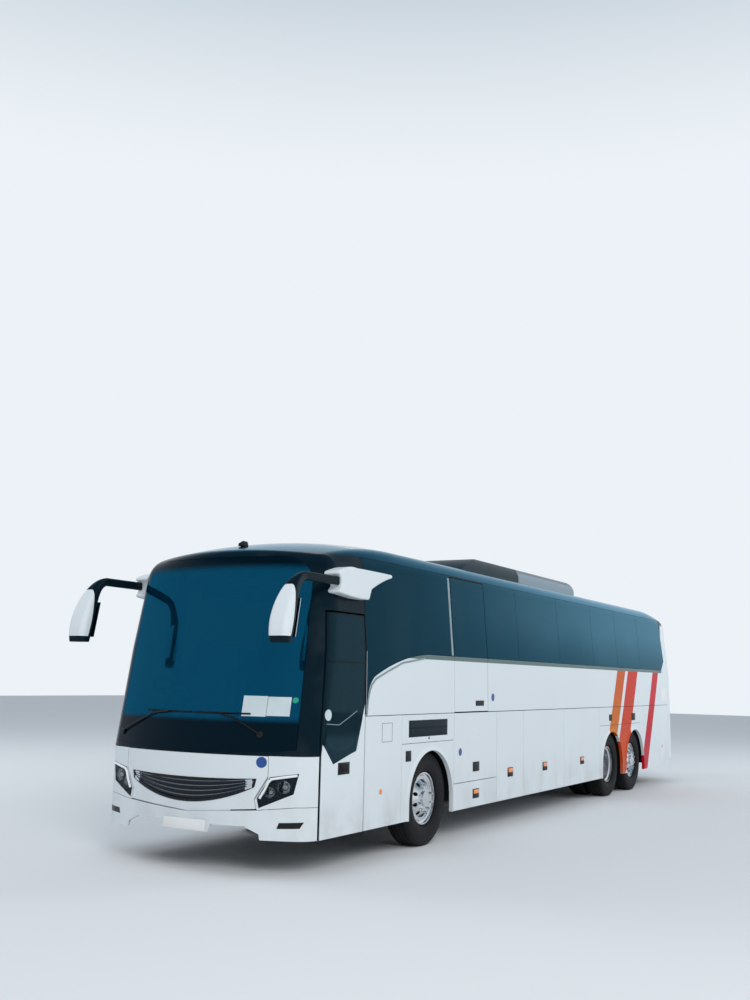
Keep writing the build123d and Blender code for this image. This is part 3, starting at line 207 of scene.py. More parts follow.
# %% [markdown]
# White coach paint is a clear lacquer over a flat colour. Seen close it has a fine orange-peel ripple, and
# low on the skirts it carries a grey veil of road dirt. The slanted stripes on the rear flank are paint
# too. They could be thin plates laid on the panels, but then they would split at every flap and stand
# proud, so a formula on the place along the coach and the height colours the same lacquer instead, and
# stays in line over all seams.

# %% White paint with the slanted stripes
# white paint dimmed and cooled partway towards its tone in shade, so it is partly painted shade
WHITE_WITH_PAINTED_SHADE = (0.71, 0.76, 0.785)
ROAD_GREY = (0.36, 0.35, 0.33)
ENAMEL = (0.003, 0.011, 0.018)
TRIM_GREEN = (0.13, 0.19, 0.18)
# heights where the dirt is full and where it ends, its full share and that of a faint mottle all over
DIRT_Z, DIRT_SHARE, MOTTLE_SHARE = (0.33, 1.0), 0.35, 0.04
# depth of the outer skin, and how far within the full width a face still belongs to a flank
SKIN_DEPTH, FLANK_DEPTH = 0.006, 0.055
# rows of station at the waist, half width along the coach, low colour and high colour
STRIPES = (
    (10.05, 0.24, (0.62, 0.20, 0.003), (0.58, 0.09, 0.003)),
    (10.76, 0.31, (0.60, 0.065, 0.004), (0.58, 0.020, 0.004)),
    (12.30, 0.20, (0.52, 0.000, 0.016), (0.56, 0.000, 0.010)),
)
STRIPE_LEAN, STRIPE_FADE_Z = 0.52, (0.5, 2.0)
# stations and heights of the painted strip under the side glass
STRIP_RUN, STRIP_Z = (2.2, 13.08), (SILL_Z - 0.052, SILL_Z - 0.004)
# the last pane's slanted rear edge, the black border's width around the panes and its reach below them
PANE_END, PANE_END_LEAN, BORDER, BORDER_BELOW = 13.06, 0.242, 0.020, 0.003
# station where the white of the waist begins to climb
SWOOP_START = 1.302


def outer_face(x, z):
    """1 on the outer face of the leaning flank, 0 on returns and inner faces a few millimetres deeper."""
    low = (z - WAIST_Z).most(0.0) * LOW_LEAN
    high = (z - SILL_Z).most(0.0) * (SIDE_LEAN - LOW_LEAN)
    return (x.size() + low + high).ramp(HALF_WIDTH - SKIN_DEPTH, HALF_WIDTH - SKIN_DEPTH / 2)


def stripe_colour(finish, base, x, y, z):
    """Paint the stripes on both flanks over a base colour."""
    flank = x.size().past(HALF_WIDTH - FLANK_DEPTH, soft=0.005)
    along = y - NOSE - STRIPE_LEAN * (z - WAIST_Z)
    height = z.ramp(*STRIPE_FADE_Z)
    for station, half, low, high in STRIPES:
        mask = (1 - (along - station).size().past(half, soft=0.003)) * flank
        base = finish.blend(mask, base, finish.blend(height, low, high))
    return base


def lacquer(name):
    """Clear-coated paint with its fine ripple, still without a colour."""
    paint = Finish(name, IOR=1.12, Coat_Weight=0.04, Coat_Roughness=0.04)
    paint.bump(paint.noise(350.0, detail=1.0), strength=0.06, distance=0.0006)
    return paint


def road_dirt(paint, z, stretch=(1.0, 1.0, 1.0)):
    """Share of dirt: cloudy, and only low on the coach."""
    clouds = paint.noise(3.0, detail=5.0, stretch=stretch).ramp(0.35, 0.8)
    return (1 - z.ramp(*DIRT_Z)) * clouds * DIRT_SHARE


def white_paint(name, striped=False, walls=False):
    """White lacquer; striped adds the graphic, and walls the black and the strip around the glass."""
    paint = lacquer(name)
    x, y, z = paint.place()
    dirt = road_dirt(paint, z, stretch=(1.0, 1.0, 0.5))
    base = WHITE_WITH_PAINTED_SHADE
    if striped:
        base = stripe_colour(paint, base, x, y, z)
    mottle = paint.noise(0.8, detail=2.0).ramp(0.2, 0.8) * MOTTLE_SHARE
    base = paint.blend(dirt + mottle, base, ROAD_GREY)
    if walls:
        strip = z.band(*STRIP_Z) * (y - NOSE).band(*STRIP_RUN, soft=0.02)
        base = paint.blend(strip, base, TRIM_GREEN)
        pillar = (y - at(PANE_END)) - (z - SILL_Z) * PANE_END_LEAN
        glazed = z.past(SILL_Z - BORDER_BELOW, soft=0.001) * (1 - pillar.past(BORDER))
        corner = (1 - y.past(at(SWOOP_START), soft=0.001)) * z.past(WAIST_Z + BORDER)
        dark = (1 - outer_face(x, z)).most(glazed, corner)
        base = paint.blend(dark, base, ENAMEL)
    paint.feed("Base Color", base)
    paint.feed("Roughness", 0.30 + 0.45 * dirt)
    return paint.material


body_white = white_paint("body_white")
flank_white = white_paint("flank_white", striped=True)
wall_white = white_paint("wall_white", striped=True, walls=True)
print("stripes", len(STRIPES))

# %% [markdown]
# The door leaf is white only at its foot. Above a bent edge it is a black frame that carries on the line of
# the windows. The edge falls from the front, runs along and climbs to the waist, so it is the highest of
# three straight lines. A separate dark panel could be let in, but the seam would then show where the real
# leaf has none.

# %% Door paint with its black upper part
# rows of station, height there and slope of the lines that bound the black part from below
DOOR_LINES = ((0.49, 1.20, -1.00), (0.67, 1.02, 0.26), (1.10, 1.13, 2.65))


def door_paint():
    """White lacquer at the leaf's foot and gloss black above the bent edge."""
    paint = lacquer("door_paint")
    x, y, z = paint.place()
    first, *others = [(y - at(station)) * slope + height for station, height, slope in DOOR_LINES]
    dark = (z - first.most(*others)).past(0.0).most(1 - outer_face(x, z))
    dirt = road_dirt(paint, z)
    paint.feed("Base Color", paint.blend(dark, paint.blend(dirt, WHITE_WITH_PAINTED_SHADE, ROAD_GREY), ENAMEL))
    paint.feed("Roughness", 0.28 - 0.18 * dark + 0.3 * dirt)
    return paint.material


door_white = door_paint()
print("made", door_white.name)

# %% [markdown]
# The black surround of the windscreen is gloss enamel and shows the sky, so most of its look is reflection:
# near black underneath, with a blue cast in the specular tint. The roof's rounded edge and the brow over
# the windscreen are black too, but they lean back and mirror the sky in a deep blue that pales towards the
# rear. The world could give that blue by itself, but it is a plain studio here, so the edge is a partly
# metallic paint with two blues. The roof's top is white and matt with dust, because nobody washes it as
# well as the flanks.

# %% Gloss black, and the roof
GLASS_TINT = (0.45, 0.75, 0.92, 1.0)
ROOF_WHITE = (0.70, 0.72, 0.73)
BROW_BLUE = (0.004, 0.034, 0.068)
CORNICE_BLUE = (0.080, 0.200, 0.290)
# the white top's half width, its distances from the nose and from the tail, and the soft step of its edge
TOP_HALF, TOP_FRONT, TOP_REAR, TOP_SOFT = 0.985, 1.400, 0.500, 0.005


def gloss_black(name, base, roughness):
    """Enamel with a little dust on it."""
    enamel = Finish(name, Specular_Tint=GLASS_TINT, IOR=1.16)
    dust = enamel.noise(2.5, detail=6.0).ramp(0.45, 0.9) * 0.05
    enamel.feed("Base Color", enamel.blend(dust, base, ROAD_GREY))
    enamel.feed("Roughness", roughness + 0.8 * dust)
    enamel.bump(enamel.noise(220.0, detail=1.0), strength=0.04, distance=0.0005)
    return enamel.material


def roof_finish():
    """Dusty white inside the edge, and two blues around it."""
    roof = Finish("roof_paint", Specular_Tint=GLASS_TINT, IOR=1.25)
    x, y = roof.place("XY")
    inner = 1 - x.size().ramp(TOP_HALF, TOP_HALF + TOP_SOFT)
    for distance, start in ((y - NOSE, TOP_FRONT), (TAIL - y, TOP_REAR)):
        inner = inner * distance.ramp(start, start + TOP_SOFT)
    grime = roof.noise(1.5, detail=6.0).ramp(0.3, 0.9) * 0.25
    top = roof.blend(grime, ROOF_WHITE, ROAD_GREY)
    edge = roof.blend((y - NOSE).ramp(1.0, 12.0), BROW_BLUE, CORNICE_BLUE)
    roof.feed("Base Color", roof.blend(inner, edge, top))
    roof.feed("Metallic", 0.70 * (1 - inner))
    roof.feed("Roughness", 0.12 + inner * 0.33 + grime * 0.2)
    roof.bump(roof.noise(200.0, detail=1.0), strength=0.05, distance=0.0006)
    return roof.material


enamel_black = gloss_black("enamel_black", ENAMEL, 0.10)
roof_paint = roof_finish()
print("made", enamel_black.name, roof_paint.name)

# %% [markdown]
# Coach glass is grey-green and dark. From outside it works as a dim mirror with a hint of the seats behind,
# and its head is painted paler towards the rear: a painted reflection of the sky, which the pane mirrors
# more of there. A physical glass with refraction would be slow and noisy with two layers of panes and a
# saloon between them, so the pane is a glossy dark coat that lets a set share of the light straight
# through.

# %% Tinted glass and windscreen
# the painted reflection of the sky grows along the coach between these stations and up a pane between these
# heights
PAINTED_SKY_RUN, PAINTED_SKY_Z = (1.5, 11.0), (2.25, 3.05)


def tinted(name, colour, opacity, mirror, roughness=0.03, painted_sky=None):
    """A pane that lets a share of the light through and mirrors the rest; a painted reflection of the sky
    can lighten its head.
    """
    pane = Finish(name, Alpha=opacity, Specular_Tint=GLASS_TINT, IOR=1.30, Metallic=mirror)
    streak = pane.noise(1.2, detail=4.0, stretch=(1.0, 1.0, 0.25)).ramp(0.4, 0.9) * 0.03
    if painted_sky:
        y, z = pane.place("YZ")
        # a painted reflection of the sky: paler towards the rear and up the pane
        painted_sky_share = (y - NOSE).ramp(*PAINTED_SKY_RUN) * (z + pane.noise(0.5, detail=2.0) * 0.4).ramp(*PAINTED_SKY_Z)
        colour = pane.blend(painted_sky_share, colour, painted_sky)
    pane.feed("Base Color", pane.blend(streak, colour, ROAD_GREY))
    pane.feed("Roughness", roughness + streak)
    pane.bump(pane.noise(0.9, detail=1.0), strength=0.05, distance=0.01)
    return pane.material


# the side glass's head takes a painted reflection of the sky in the paler tone below
side_glass = tinted("side_glass", (0.002, 0.019, 0.034), opacity=0.90, mirror=0.75,
                    painted_sky=(0.070, 0.150, 0.200))
door_pane = tinted("door_pane", (0.003, 0.020, 0.030), opacity=0.80, mirror=0.5)

# heights between which the windscreen's printed borders fade, at its foot and along its head
PRINT_FOOT_Z, PRINT_HEAD_Z = (1.40, 1.47), (2.90, 3.00)
# the clear glass's deep blue is partly its own tint and partly a painted reflection of the sky
PRINT_TONE, SCREEN_TINT_AND_PAINTED_SKY = (0.001, 0.007, 0.014), (0.003, 0.080, 0.158)


def windscreen_finish():
    """Laminated glass with an opaque printed border at its foot and along its head."""
    pane = Finish("windscreen_glass", Specular_Tint=GLASS_TINT, IOR=1.16)
    [z] = pane.place("Z")
    clear = z.ramp(*PRINT_FOOT_Z) * (1 - z.ramp(*PRINT_HEAD_Z))
    pane.feed("Base Color", pane.blend(clear, PRINT_TONE, SCREEN_TINT_AND_PAINTED_SKY))
    pane.feed("Metallic", 0.75 * clear)
    pane.feed("Alpha", 1.0 - 0.30 * clear)
    pane.feed("Roughness", 0.03 + 0.02 * pane.noise(1.5))
    pane.bump(pane.noise(0.7, detail=1.0), strength=0.05, distance=0.01)
    return pane.material


screen_glass = windscreen_finish()
print("made", side_glass.name, door_pane.name, screen_glass.name)

# %% [markdown]
# The rest of the finishes are plain trades: rubber that greys with dust, textured plastic, cast and painted
# steel, polished alloy and a sheet floor. Each gets the grain that the real one shows at arm's length. They
# could be built one by one, but one maker with a few numbers is enough for all.

# %% Rubber, plastics and metals
def grained(name, colour, second, roughness, grain, depth, **constants):
    """A finish with a cloudy second tone and a fine relief of a given grain per metre."""
    stuff = Finish(name, **constants)
    cloud = stuff.noise(4.0, detail=5.0).ramp(0.35, 0.75)
    stuff.feed("Base Color", stuff.blend(cloud, colour, second))
    stuff.feed("Roughness", roughness + 0.12 * cloud)
    stuff.bump(stuff.noise(grain, detail=2.0), strength=0.35, distance=depth)
    return stuff.material


DULL = {"Specular_IOR_Level": 0.2}
# each finish has its name, two tones, a roughness, the grain per metre and the depth of the grain
rubber = grained("tyre_rubber", (0.010, 0.010, 0.011), (0.022, 0.021, 0.020), 0.72, 300.0, 0.001, **DULL)
seal_rubber = grained("seal_rubber", (0.004, 0.004, 0.005), (0.010, 0.010, 0.011), 0.60, 500.0, 0.0005,
                      **DULL)
black_plastic = grained("black_plastic", (0.006, 0.007, 0.008), (0.012, 0.013, 0.014), 0.45, 900.0, 0.0004,
                        Specular_IOR_Level=0.25)
grey_plastic = grained("grey_plastic", (0.22, 0.235, 0.245), (0.30, 0.31, 0.32), 0.50, 700.0, 0.0004)
frame_steel = grained("frame_steel", (0.025, 0.025, 0.027), (0.075, 0.065, 0.055), 0.62, 120.0, 0.001)
cast_steel = grained("cast_steel", (0.06, 0.06, 0.062), (0.13, 0.115, 0.10), 0.68, 180.0, 0.0015,
                     Metallic=0.3)
polished_alloy = grained("polished_alloy", (0.72, 0.73, 0.75), (0.60, 0.61, 0.62), 0.14, 250.0, 0.0002,
                         Metallic=1.0)
bright_trim = grained("bright_trim", (0.80, 0.81, 0.82), (0.70, 0.71, 0.72), 0.09, 300.0, 0.0001,
                      Metallic=1.0)
mirror_face = grained("mirror_face", (0.86, 0.88, 0.90), (0.84, 0.86, 0.88), 0.02, 50.0, 0.00005,
                      Metallic=1.0)
sheet_floor = grained("sheet_floor", (0.13, 0.135, 0.14), (0.20, 0.20, 0.205), 0.55, 400.0, 0.0006)
hold_metal = grained("hold_metal", (0.30, 0.31, 0.32), (0.40, 0.40, 0.41), 0.42, 90.0, 0.0008, Metallic=0.6)
lamp_amber = grained("lamp_amber", (0.85, 0.22, 0.015), (0.92, 0.30, 0.02), 0.14, 260.0, 0.0008,
                     Coat_Weight=0.8)
print("finishes", len(bpy.data.materials))

# %% [markdown]
# The seats wear a flat-woven cloth in dark blue-grey with a fine light check. An image of a weave could be
# wrapped around them, but it would need seams laid out by hand, and waves on the place need none.

# %% Seat cloth
# angular frequencies of the threads and of the check, per metre
THREADS, CHECKS = 900.0, 42.0
CLOTH_BLUE, CLOTH_LIGHT = (0.025, 0.035, 0.060), (0.12, 0.13, 0.16)


def cloth():
    """Threads from two crossed waves, and a check from two wider ones."""
    weave = Finish("seat_cloth", Sheen_Weight=0.4)
    x, y, z = weave.place()
    threads = (x * THREADS).wave() * (z * THREADS + y * THREADS).wave()
    check = (y * CHECKS).wave().ramp(0.80, 0.95) + (x * CHECKS).wave().ramp(0.80, 0.95)
    weave.feed("Base Color", weave.blend(check * 0.5, CLOTH_BLUE, CLOTH_LIGHT))
    weave.feed("Roughness", 0.85 + 0.05 * threads)
    weave.bump(threads, strength=0.4, distance=0.0008)
    return weave.material


seat_cloth = cloth()
print("made", seat_cloth.name)

# %% [markdown]
# Some CAD nodes hold two finishes on one solid. A mirror head is a white shell with a black rim towards its
# glass, a grille is a black tray with slats that end in chrome, and a headlamp is a black housing with
# polished bowls. The border between two finishes is a simple shape in space each time, so the material
# tests the place of a point. Splitting the mesh would do it as well, but a CAD node keeps its mesh.

# %% Mirror heads, grille and headlamps
# heights of the grille's upper and lower lip, at its ends and in the middle, and its half width
SLAT_ENDS, SLAT_MIDDLE, SLAT_HALF = (0.892, 0.812), (0.876, 0.642), 0.745
SLATS, SLAT_FACE_HALF = 4, 0.0125
# X where the slats' faces end and where their chrome begins
SLAT_REACH, CHROME_START = 0.722, 0.655
# heights over a slat's middle between which a highlight is painted along its crest, and how strong it is
HIGHLIGHT_Z, PAINTED_HIGHLIGHT_SHARE = (0.0085, 0.0140), 0.45
TRAY_TONE, SLAT_TONE, CHROME_TONE = (0.004, 0.005, 0.006), (0.012, 0.020, 0.030), (0.62, 0.66, 0.70)
# rows of X, Z and radius of the headlamps' bowls
BOWLS = ((1.015, 0.822, 0.058), (0.885, 0.770, 0.048))
HOUSING_TONE, BOWL_TONE, BOWL_FLUTES = (0.004, 0.005, 0.007), (0.70, 0.72, 0.74), 900.0
# height and slope of a mirror's rim, its distance before the nose and the depth of its black band
RIM_Z, RIM_LEAN, RIM_AHEAD, RIM_BAND = 2.19, 0.2, 0.196, 0.072
# the mirror's white starts this far before the nose and above this height
SHELL_AHEAD, SHELL_Z = 0.075, 2.222


def mirror_shell():
    """White shell behind a black rim, on a black arm."""
    shell = Finish("mirror_shell", IOR=1.16, Coat_Weight=0.04, Coat_Roughness=0.05)
    y, z = shell.place("YZ")
    rim = (z - RIM_Z) * RIM_LEAN - RIM_AHEAD - (y - NOSE)
    white = rim.ramp(RIM_BAND, RIM_BAND + 0.003) * (NOSE - SHELL_AHEAD - y).ramp(0.0, 0.003)
    white = white * z.ramp(SHELL_Z, SHELL_Z + 0.003)
    shell.feed("Base Color", shell.blend(white, ENAMEL, WHITE_WITH_PAINTED_SHADE))
    shell.feed("Roughness", 0.32 - 0.06 * white)
    shell.bump(shell.noise(500.0), strength=0.1, distance=0.0004)
    return shell.material


def grille_finish():
    """Dark slats with chrome ends and a painted highlight in chrome tone along their crests, on a black
    tray.
    """
    tray = Finish("grille_finish", Specular_IOR_Level=0.3)
    x, z = tray.place("XZ")
    across = x.squared() * (1 / SLAT_HALF ** 2)
    faces, highlight_bands = [], []
    for number in range(1, SLATS + 1):
        share = number / (SLATS + 1)
        end, middle = (lips[0] + (lips[1] - lips[0]) * share for lips in (SLAT_ENDS, SLAT_MIDDLE))
        height = z - (across * (end - middle) + middle)
        faces.append(1 - height.size().ramp(SLAT_FACE_HALF, SLAT_FACE_HALF + 0.0005))
        highlight_bands.append(height.band(*HIGHLIGHT_Z, soft=0.0004))
    slat = faces[0].most(*faces[1:]) * (1 - x.size().ramp(SLAT_REACH, SLAT_REACH + 0.002))
    # a painted highlight along each slat's crest, which joins the chrome ends' tone
    painted_highlight = highlight_bands[0].most(*highlight_bands[1:]) * PAINTED_HIGHLIGHT_SHARE
    chrome_and_painted_highlight = x.size().ramp(CHROME_START, CHROME_START + 0.002).most(painted_highlight)
    tone = tray.blend(chrome_and_painted_highlight, SLAT_TONE, CHROME_TONE)
    tray.feed("Base Color", tray.blend(slat, TRAY_TONE, tone))
    tray.feed("Metallic", slat * (0.5 + 0.5 * chrome_and_painted_highlight))
    tray.feed("Roughness", 0.22 - 0.05 * slat)
    tray.bump(tray.noise(300.0, detail=1.0), strength=0.05, distance=0.0003)
    return tray.material


def lamp_housing():
    """Polished bowls in a black housing."""
    housing = Finish("lamp_housing", Specular_IOR_Level=0.3)
    x, z = housing.place("XZ")
    bowls = []
    for across, height, radius in BOWLS:
        far = (x.size() - across).squared() + (z - height).squared()
        bowls.append(1 - far.ramp((radius + 0.0005) ** 2, (radius + 0.0015) ** 2))
    bowl = bowls[0].most(*bowls[1:])
    housing.feed("Base Color", housing.blend(bowl, HOUSING_TONE, BOWL_TONE))
    housing.feed("Metallic", bowl)
    housing.feed("Roughness", 0.30 - 0.22 * bowl)
    housing.bump((x * BOWL_FLUTES).wave() * bowl, strength=0.3, distance=0.0006)
    return housing.material


shell_finish, slat_finish, bowl_finish = mirror_shell(), grille_finish(), lamp_housing()
clear_lens = tinted("clear_lens", (0.010, 0.022, 0.030), opacity=0.24, mirror=0.2, roughness=0.05)
print("made", shell_finish.name, slat_finish.name, bowl_finish.name, clear_lens.name)

# %% [markdown]
# The roof unit is a dark dome in front of a lighter casing with air slots along its edges, and each tail
# lamp is red with an amber band and a clear one. They could be split into a piece for each colour, but a
# CAD node keeps its mesh, so the colours come from the place here too.

# %% Roof unit and tail lamps
# station of the joint between dome and casing, and the slots' distance from the middle and frequency
UNIT_JOINT, SLOT_X, SLOT_FREQUENCY = 6.695, (0.700, 0.770), 70.0
DOME_TONE, CASING_TONE, SLOT_TONE = (0.004, 0.022, 0.034), (0.24, 0.31, 0.36), (0.02, 0.02, 0.02)
# heights of the tail lamp's two bands, and the frequency of its prisms
AMBER_Z, CLEAR_Z, PRISM_FREQUENCY = (1.42, 1.56), (1.02, 1.14), 400.0
LENS_RED, LENS_AMBER, LENS_CLEAR = (0.42, 0.010, 0.008), (0.85, 0.24, 0.015), (0.72, 0.73, 0.74)


def unit_finish():
    """Dark dome in front and a lighter casing behind it, with a row of air slots along its edges."""
    unit = Finish("unit_finish", IOR=1.25)
    x, y = unit.place("XY")
    rear = (y - NOSE).past(UNIT_JOINT, soft=0.001)
    slots = (y * SLOT_FREQUENCY).wave().ramp(0.2, 0.5) * x.size().band(*SLOT_X, soft=0.004) * rear
    tone = unit.blend(rear, DOME_TONE, CASING_TONE)
    unit.feed("Base Color", unit.blend(slots, tone, SLOT_TONE))
    unit.feed("Roughness", 0.36 + 0.1 * unit.noise(3.0, detail=4.0))
    unit.bump(unit.noise(600.0, detail=2.0), strength=0.3, distance=0.0004)
    return unit.material


def tail_finish():
    """Red lenses with an amber band and a clear one."""
    lens = Finish("tail_finish", Coat_Weight=0.8)
    x, z = lens.place("XZ")
    base = lens.blend(z.band(*AMBER_Z), LENS_RED, LENS_AMBER)
    lens.feed("Base Color", lens.blend(z.band(*CLEAR_Z), base, LENS_CLEAR))
    lens.feed("Roughness", 0.12 + 0.05 * lens.noise(5.0))
    lens.bump((z * PRISM_FREQUENCY).wave() * (x * PRISM_FREQUENCY).wave(), strength=0.3, distance=0.0008)
    return lens.material


roof_unit_finish, tail_lens = unit_finish(), tail_finish()
print("made", roof_unit_finish.name, tail_lens.name)

# %% [markdown]
# A CAD node keeps its mesh and only changes its finish. It could be dressed by a line of its own, but a
# table that pairs each finish with its nodes shows a node that was forgotten at once, by counting.

# %% Dress the CAD nodes
NODE_FINISH = {
    body_white: ("front_panel", "bumper_front", "front_flap", "mirror_fairings"),
    flank_white: ("skirt_panels", "rear_wall", "engine_lid", "lift_flap",
                  *[f"locker_{side}_{n}" for side in SIDES for n in range(1, 5)]),
    wall_white: ("side_wall_left", "side_wall_right", "lift_door"),
    door_white: ("door_leaf",),
    enamel_black: ("front_frame",),
    slat_finish: ("grille",),
    roof_paint: ("roof",),
    side_glass: ("side_windows", "lift_door_glass"),
    door_pane: ("door_glass",),
    screen_glass: ("windscreen",),
    clear_lens: ("headlamp_lenses",),
    bowl_finish: ("headlamps",),
    shell_finish: ("mirror_arms",),
    black_plastic: ("door_arm", "wheel_housings", "dashboard"),
    roof_unit_finish: ("air_conditioner",),
    grey_plastic: ("luggage_racks",),
    frame_steel: ("chassis_frame",),
    cast_steel: ("axles", "engine_block",
                 *[f"{axle}_knuckle_{side}" for axle in ("front", "tag") for side in SIDES]),
    hold_metal: ("luggage_hold",),
    sheet_floor: ("floor", "entrance_steps"),
    seat_cloth: ("seats",),
    mirror_face: ("mirror_glass",),
    tail_lens: ("tail_lamps",),
    rubber: tuple(f"{axle}_tyre_{side}" for axle in AXLES for side in SIDES),
    polished_alloy: tuple(f"{axle}_rim_{side}" for axle in AXLES for side in SIDES),
}
for material, names in NODE_FINISH.items():
    for name in names:
        mesh = NODES[name].data
        mesh.materials.clear()
        mesh.materials.append(material)
dressed = [name for names in NODE_FINISH.values() for name in names]
print("dressed", len(dressed), "left out", sorted(set(NODES) - set(dressed)))

# %% [markdown]
# The trim is modelled as by hand: a primitive, a few edit-mode steps and a finish. The same few moves come
# back for every piece, so they get short names here. Faces could be picked by their numbers, but those
# change with the shape, and a test on the way a face looks still finds the right one.

# %% Hands for the modelling
# a facing's turn for a primitive that lies flat, and its direction
FACINGS = {
    "left": ((0.0, pi / 2, 0.0), Vector((1, 0, 0))),
    "right": ((0.0, -pi / 2, 0.0), Vector((-1, 0, 0))),
    "front": ((pi / 2, 0.0, 0.0), Vector((0, -1, 0))),
    "rear": ((-pi / 2, 0.0, 0.0), Vector((0, 1, 0))),
    "top": ((0.0, 0.0, 0.0), Vector((0, 0, 1))),
}
# edges flatter than this look smooth, and points closer than this are one
FACETS, MERGE = radians(35), 0.00002
# a face looks the way of a facing when its normal lies this far along it
SAME_WAY = 0.9


def only(piece=None):
    """Leave edit mode, and select and activate one piece, or nothing."""
    if bpy.context.object and bpy.context.object.mode != "OBJECT":
        bpy.ops.object.mode_set(mode="OBJECT")
    bpy.ops.object.select_all(action="DESELECT")
    if piece:
        piece.select_set(True)
        bpy.context.view_layer.objects.active = piece


def start(kind, **settings):
    """Add one primitive alone, put its place into its mesh and open it in edit mode with all selected."""
    only()
    getattr(bpy.ops.mesh, f"primitive_{kind}_add")(**settings)
    bpy.ops.object.transform_apply(location=True, rotation=True, scale=True)
    bpy.ops.object.mode_set(mode="EDIT")
    bpy.ops.mesh.select_mode(type="FACE")
    bpy.ops.mesh.select_all(action="SELECT")
    return bpy.context.object


def choose(piece, facing):
    """Select the faces that look the way of a facing."""
    bpy.ops.mesh.select_all(action="DESELECT")
    bpy.ops.object.mode_set(mode="OBJECT")
    for face in piece.data.polygons:
        face.select = face.normal.dot(FACINGS[facing][1]) > SAME_WAY
    bpy.ops.object.mode_set(mode="EDIT")


def close_shape():
    """Merge what coincides on the piece in edit mode, and turn its faces outwards."""
    bpy.ops.mesh.select_all(action="SELECT")
    bpy.ops.mesh.remove_doubles(threshold=MERGE)
    bpy.ops.mesh.normals_make_consistent(inside=False)


def apply_all(piece):
    """Make a piece's modifiers part of its mesh."""
    for modifier in list(piece.modifiers):
        bpy.ops.object.modifier_apply(modifier=modifier.name)


def settle(piece, name, material, body):
    """Smooth a piece, name it, give it its finish and let it ride on a body."""
    only(piece)
    bpy.ops.object.shade_smooth_by_angle(angle=FACETS)
    piece.name = piece.data.name = name
    piece.data.materials.clear()
    piece.data.materials.append(material)
    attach(piece, body)
    return piece


def link(name, data):
    """An object in the scene for a mesh, a curve, a lamp or a camera."""
    made = bpy.data.objects.new(name, data)
    bpy.context.scene.collection.objects.link(made)
    return made


def copy_of(piece, name, body, move=(0.0, 0.0, 0.0), mirror=False):
    """A copy with a mesh of its own, moved, or mirrored to the other flank."""
    made = link(name, piece.data.copy())
    flip = -1.0 if mirror else 1.0
    made.data.transform(Matrix.Translation(move) @ Matrix.Diagonal((flip, 1.0, 1.0, 1.0)))
    if mirror:
        only(made)
        bpy.ops.object.mode_set(mode="EDIT")
        close_shape()
        only()
    made.data.name = name
    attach(made, body)
    return made


# %% [markdown]
# Most of the trim is thin and lies on a bent panel: number plates, lamps, latches, signs. Such a plate
# starts as a grid in front of the panel. Its outline is cut by one bisect along each side, a Shrinkwrap
# modifier presses it onto the panel, Solidify gives it its thickness outwards and Bevel eases its rim. A
# box sunk into the panel would be quicker, but it would stand proud at one end of a bowed panel and drown
# at the other.

# %% Plates and rods that lie on a panel
# a ray or a plate starts this far out: X on a flank, Z on the roof, and before the nose or behind the tail
FLANK_REACH, ROOF_REACH, END_REACH = 1.7, 4.0, 0.3
# a plate that moved less than this towards its node has missed it
LEAST_TRAVEL = 0.05
RIM_STEPS, RIM_ANGLE, ROD_STEPS = 2, radians(50), 3


def spot(facing, a, b):
    """Point outside: a, b is station and Z on a flank, X and Z on an end, X and station on the roof."""
    if facing in SIDES:
        return Vector((FLANK_REACH if facing == "left" else -FLANK_REACH, at(a), b))
    if facing == "top":
        return Vector((a, at(b), ROOF_REACH))
    return Vector((a, NOSE - END_REACH if facing == "front" else TAIL + END_REACH, b))


def plate(name, outline, facing, node, thickness, material, body="coach", lift=-0.0004, rim=0.0, cell=0.05):
    """A thin plate with a convex outline that lies on a node's outer face."""
    turn, out = FACINGS[facing]
    low = [min(point[i] for point in outline) for i in (0, 1)]
    high = [max(point[i] for point in outline) for i in (0, 1)]
    wide, tall = high[0] - low[0], high[1] - low[1]
    middle = spot(facing, (low[0] + high[0]) / 2, (low[1] + high[1]) / 2)
    rows, columns = max(2, round(tall / cell)), max(2, round(wide / cell))
    flank = facing in SIDES
    size = (tall, wide, 1.0) if flank else (wide, tall, 1.0)
    counts = (rows, columns) if flank else (columns, rows)
    piece = start("grid", x_subdivisions=counts[0], y_subdivisions=counts[1], size=1.0, location=middle,
                  rotation=turn, scale=size)
    corners = [spot(facing, *point) for point in outline]
    centre = sum(corners, Vector()) / len(corners)
    for first, second in zip(corners, corners[1:] + corners[:1]):
        away = (second - first).cross(out).normalized()
        if away.dot(centre - first) > 0:
            away = -away
        bpy.ops.mesh.select_all(action="SELECT")
        bpy.ops.mesh.bisect(plane_co=first, plane_no=away, clear_outer=True)
    only(piece)
    bpy.ops.object.modifier_add(type="SHRINKWRAP")
    wrap = piece.modifiers[-1]
    wrap.target, wrap.offset = NODES[node], lift
    wrap.wrap_method, wrap.wrap_mode = "PROJECT", "ABOVE_SURFACE"
    wrap.use_project_x, wrap.use_project_y = flank, not flank
    toward = facing in ("left", "rear")
    wrap.use_negative_direction, wrap.use_positive_direction = toward, not toward
    bpy.ops.object.modifier_add(type="SOLIDIFY")
    piece.modifiers[-1].thickness, piece.modifiers[-1].offset = thickness, 1.0
    if rim:
        bpy.ops.object.modifier_add(type="BEVEL")
        bevel = piece.modifiers[-1]
        bevel.width, bevel.segments = rim, RIM_STEPS
        bevel.limit_method, bevel.angle_limit = "ANGLE", RIM_ANGLE
    apply_all(piece)
    nearest = max((v.co - middle).dot(out) for v in piece.data.vertices)
    assert nearest < -LEAST_TRAVEL, f"{name} misses {node}"
    return settle(piece, name, material, body)


def rectangle(low_a, high_a, low_b, high_b):
    """The corners of an upright rectangle."""
    return ((low_a, low_b), (high_a, low_b), (high_a, high_b), (low_a, high_b))


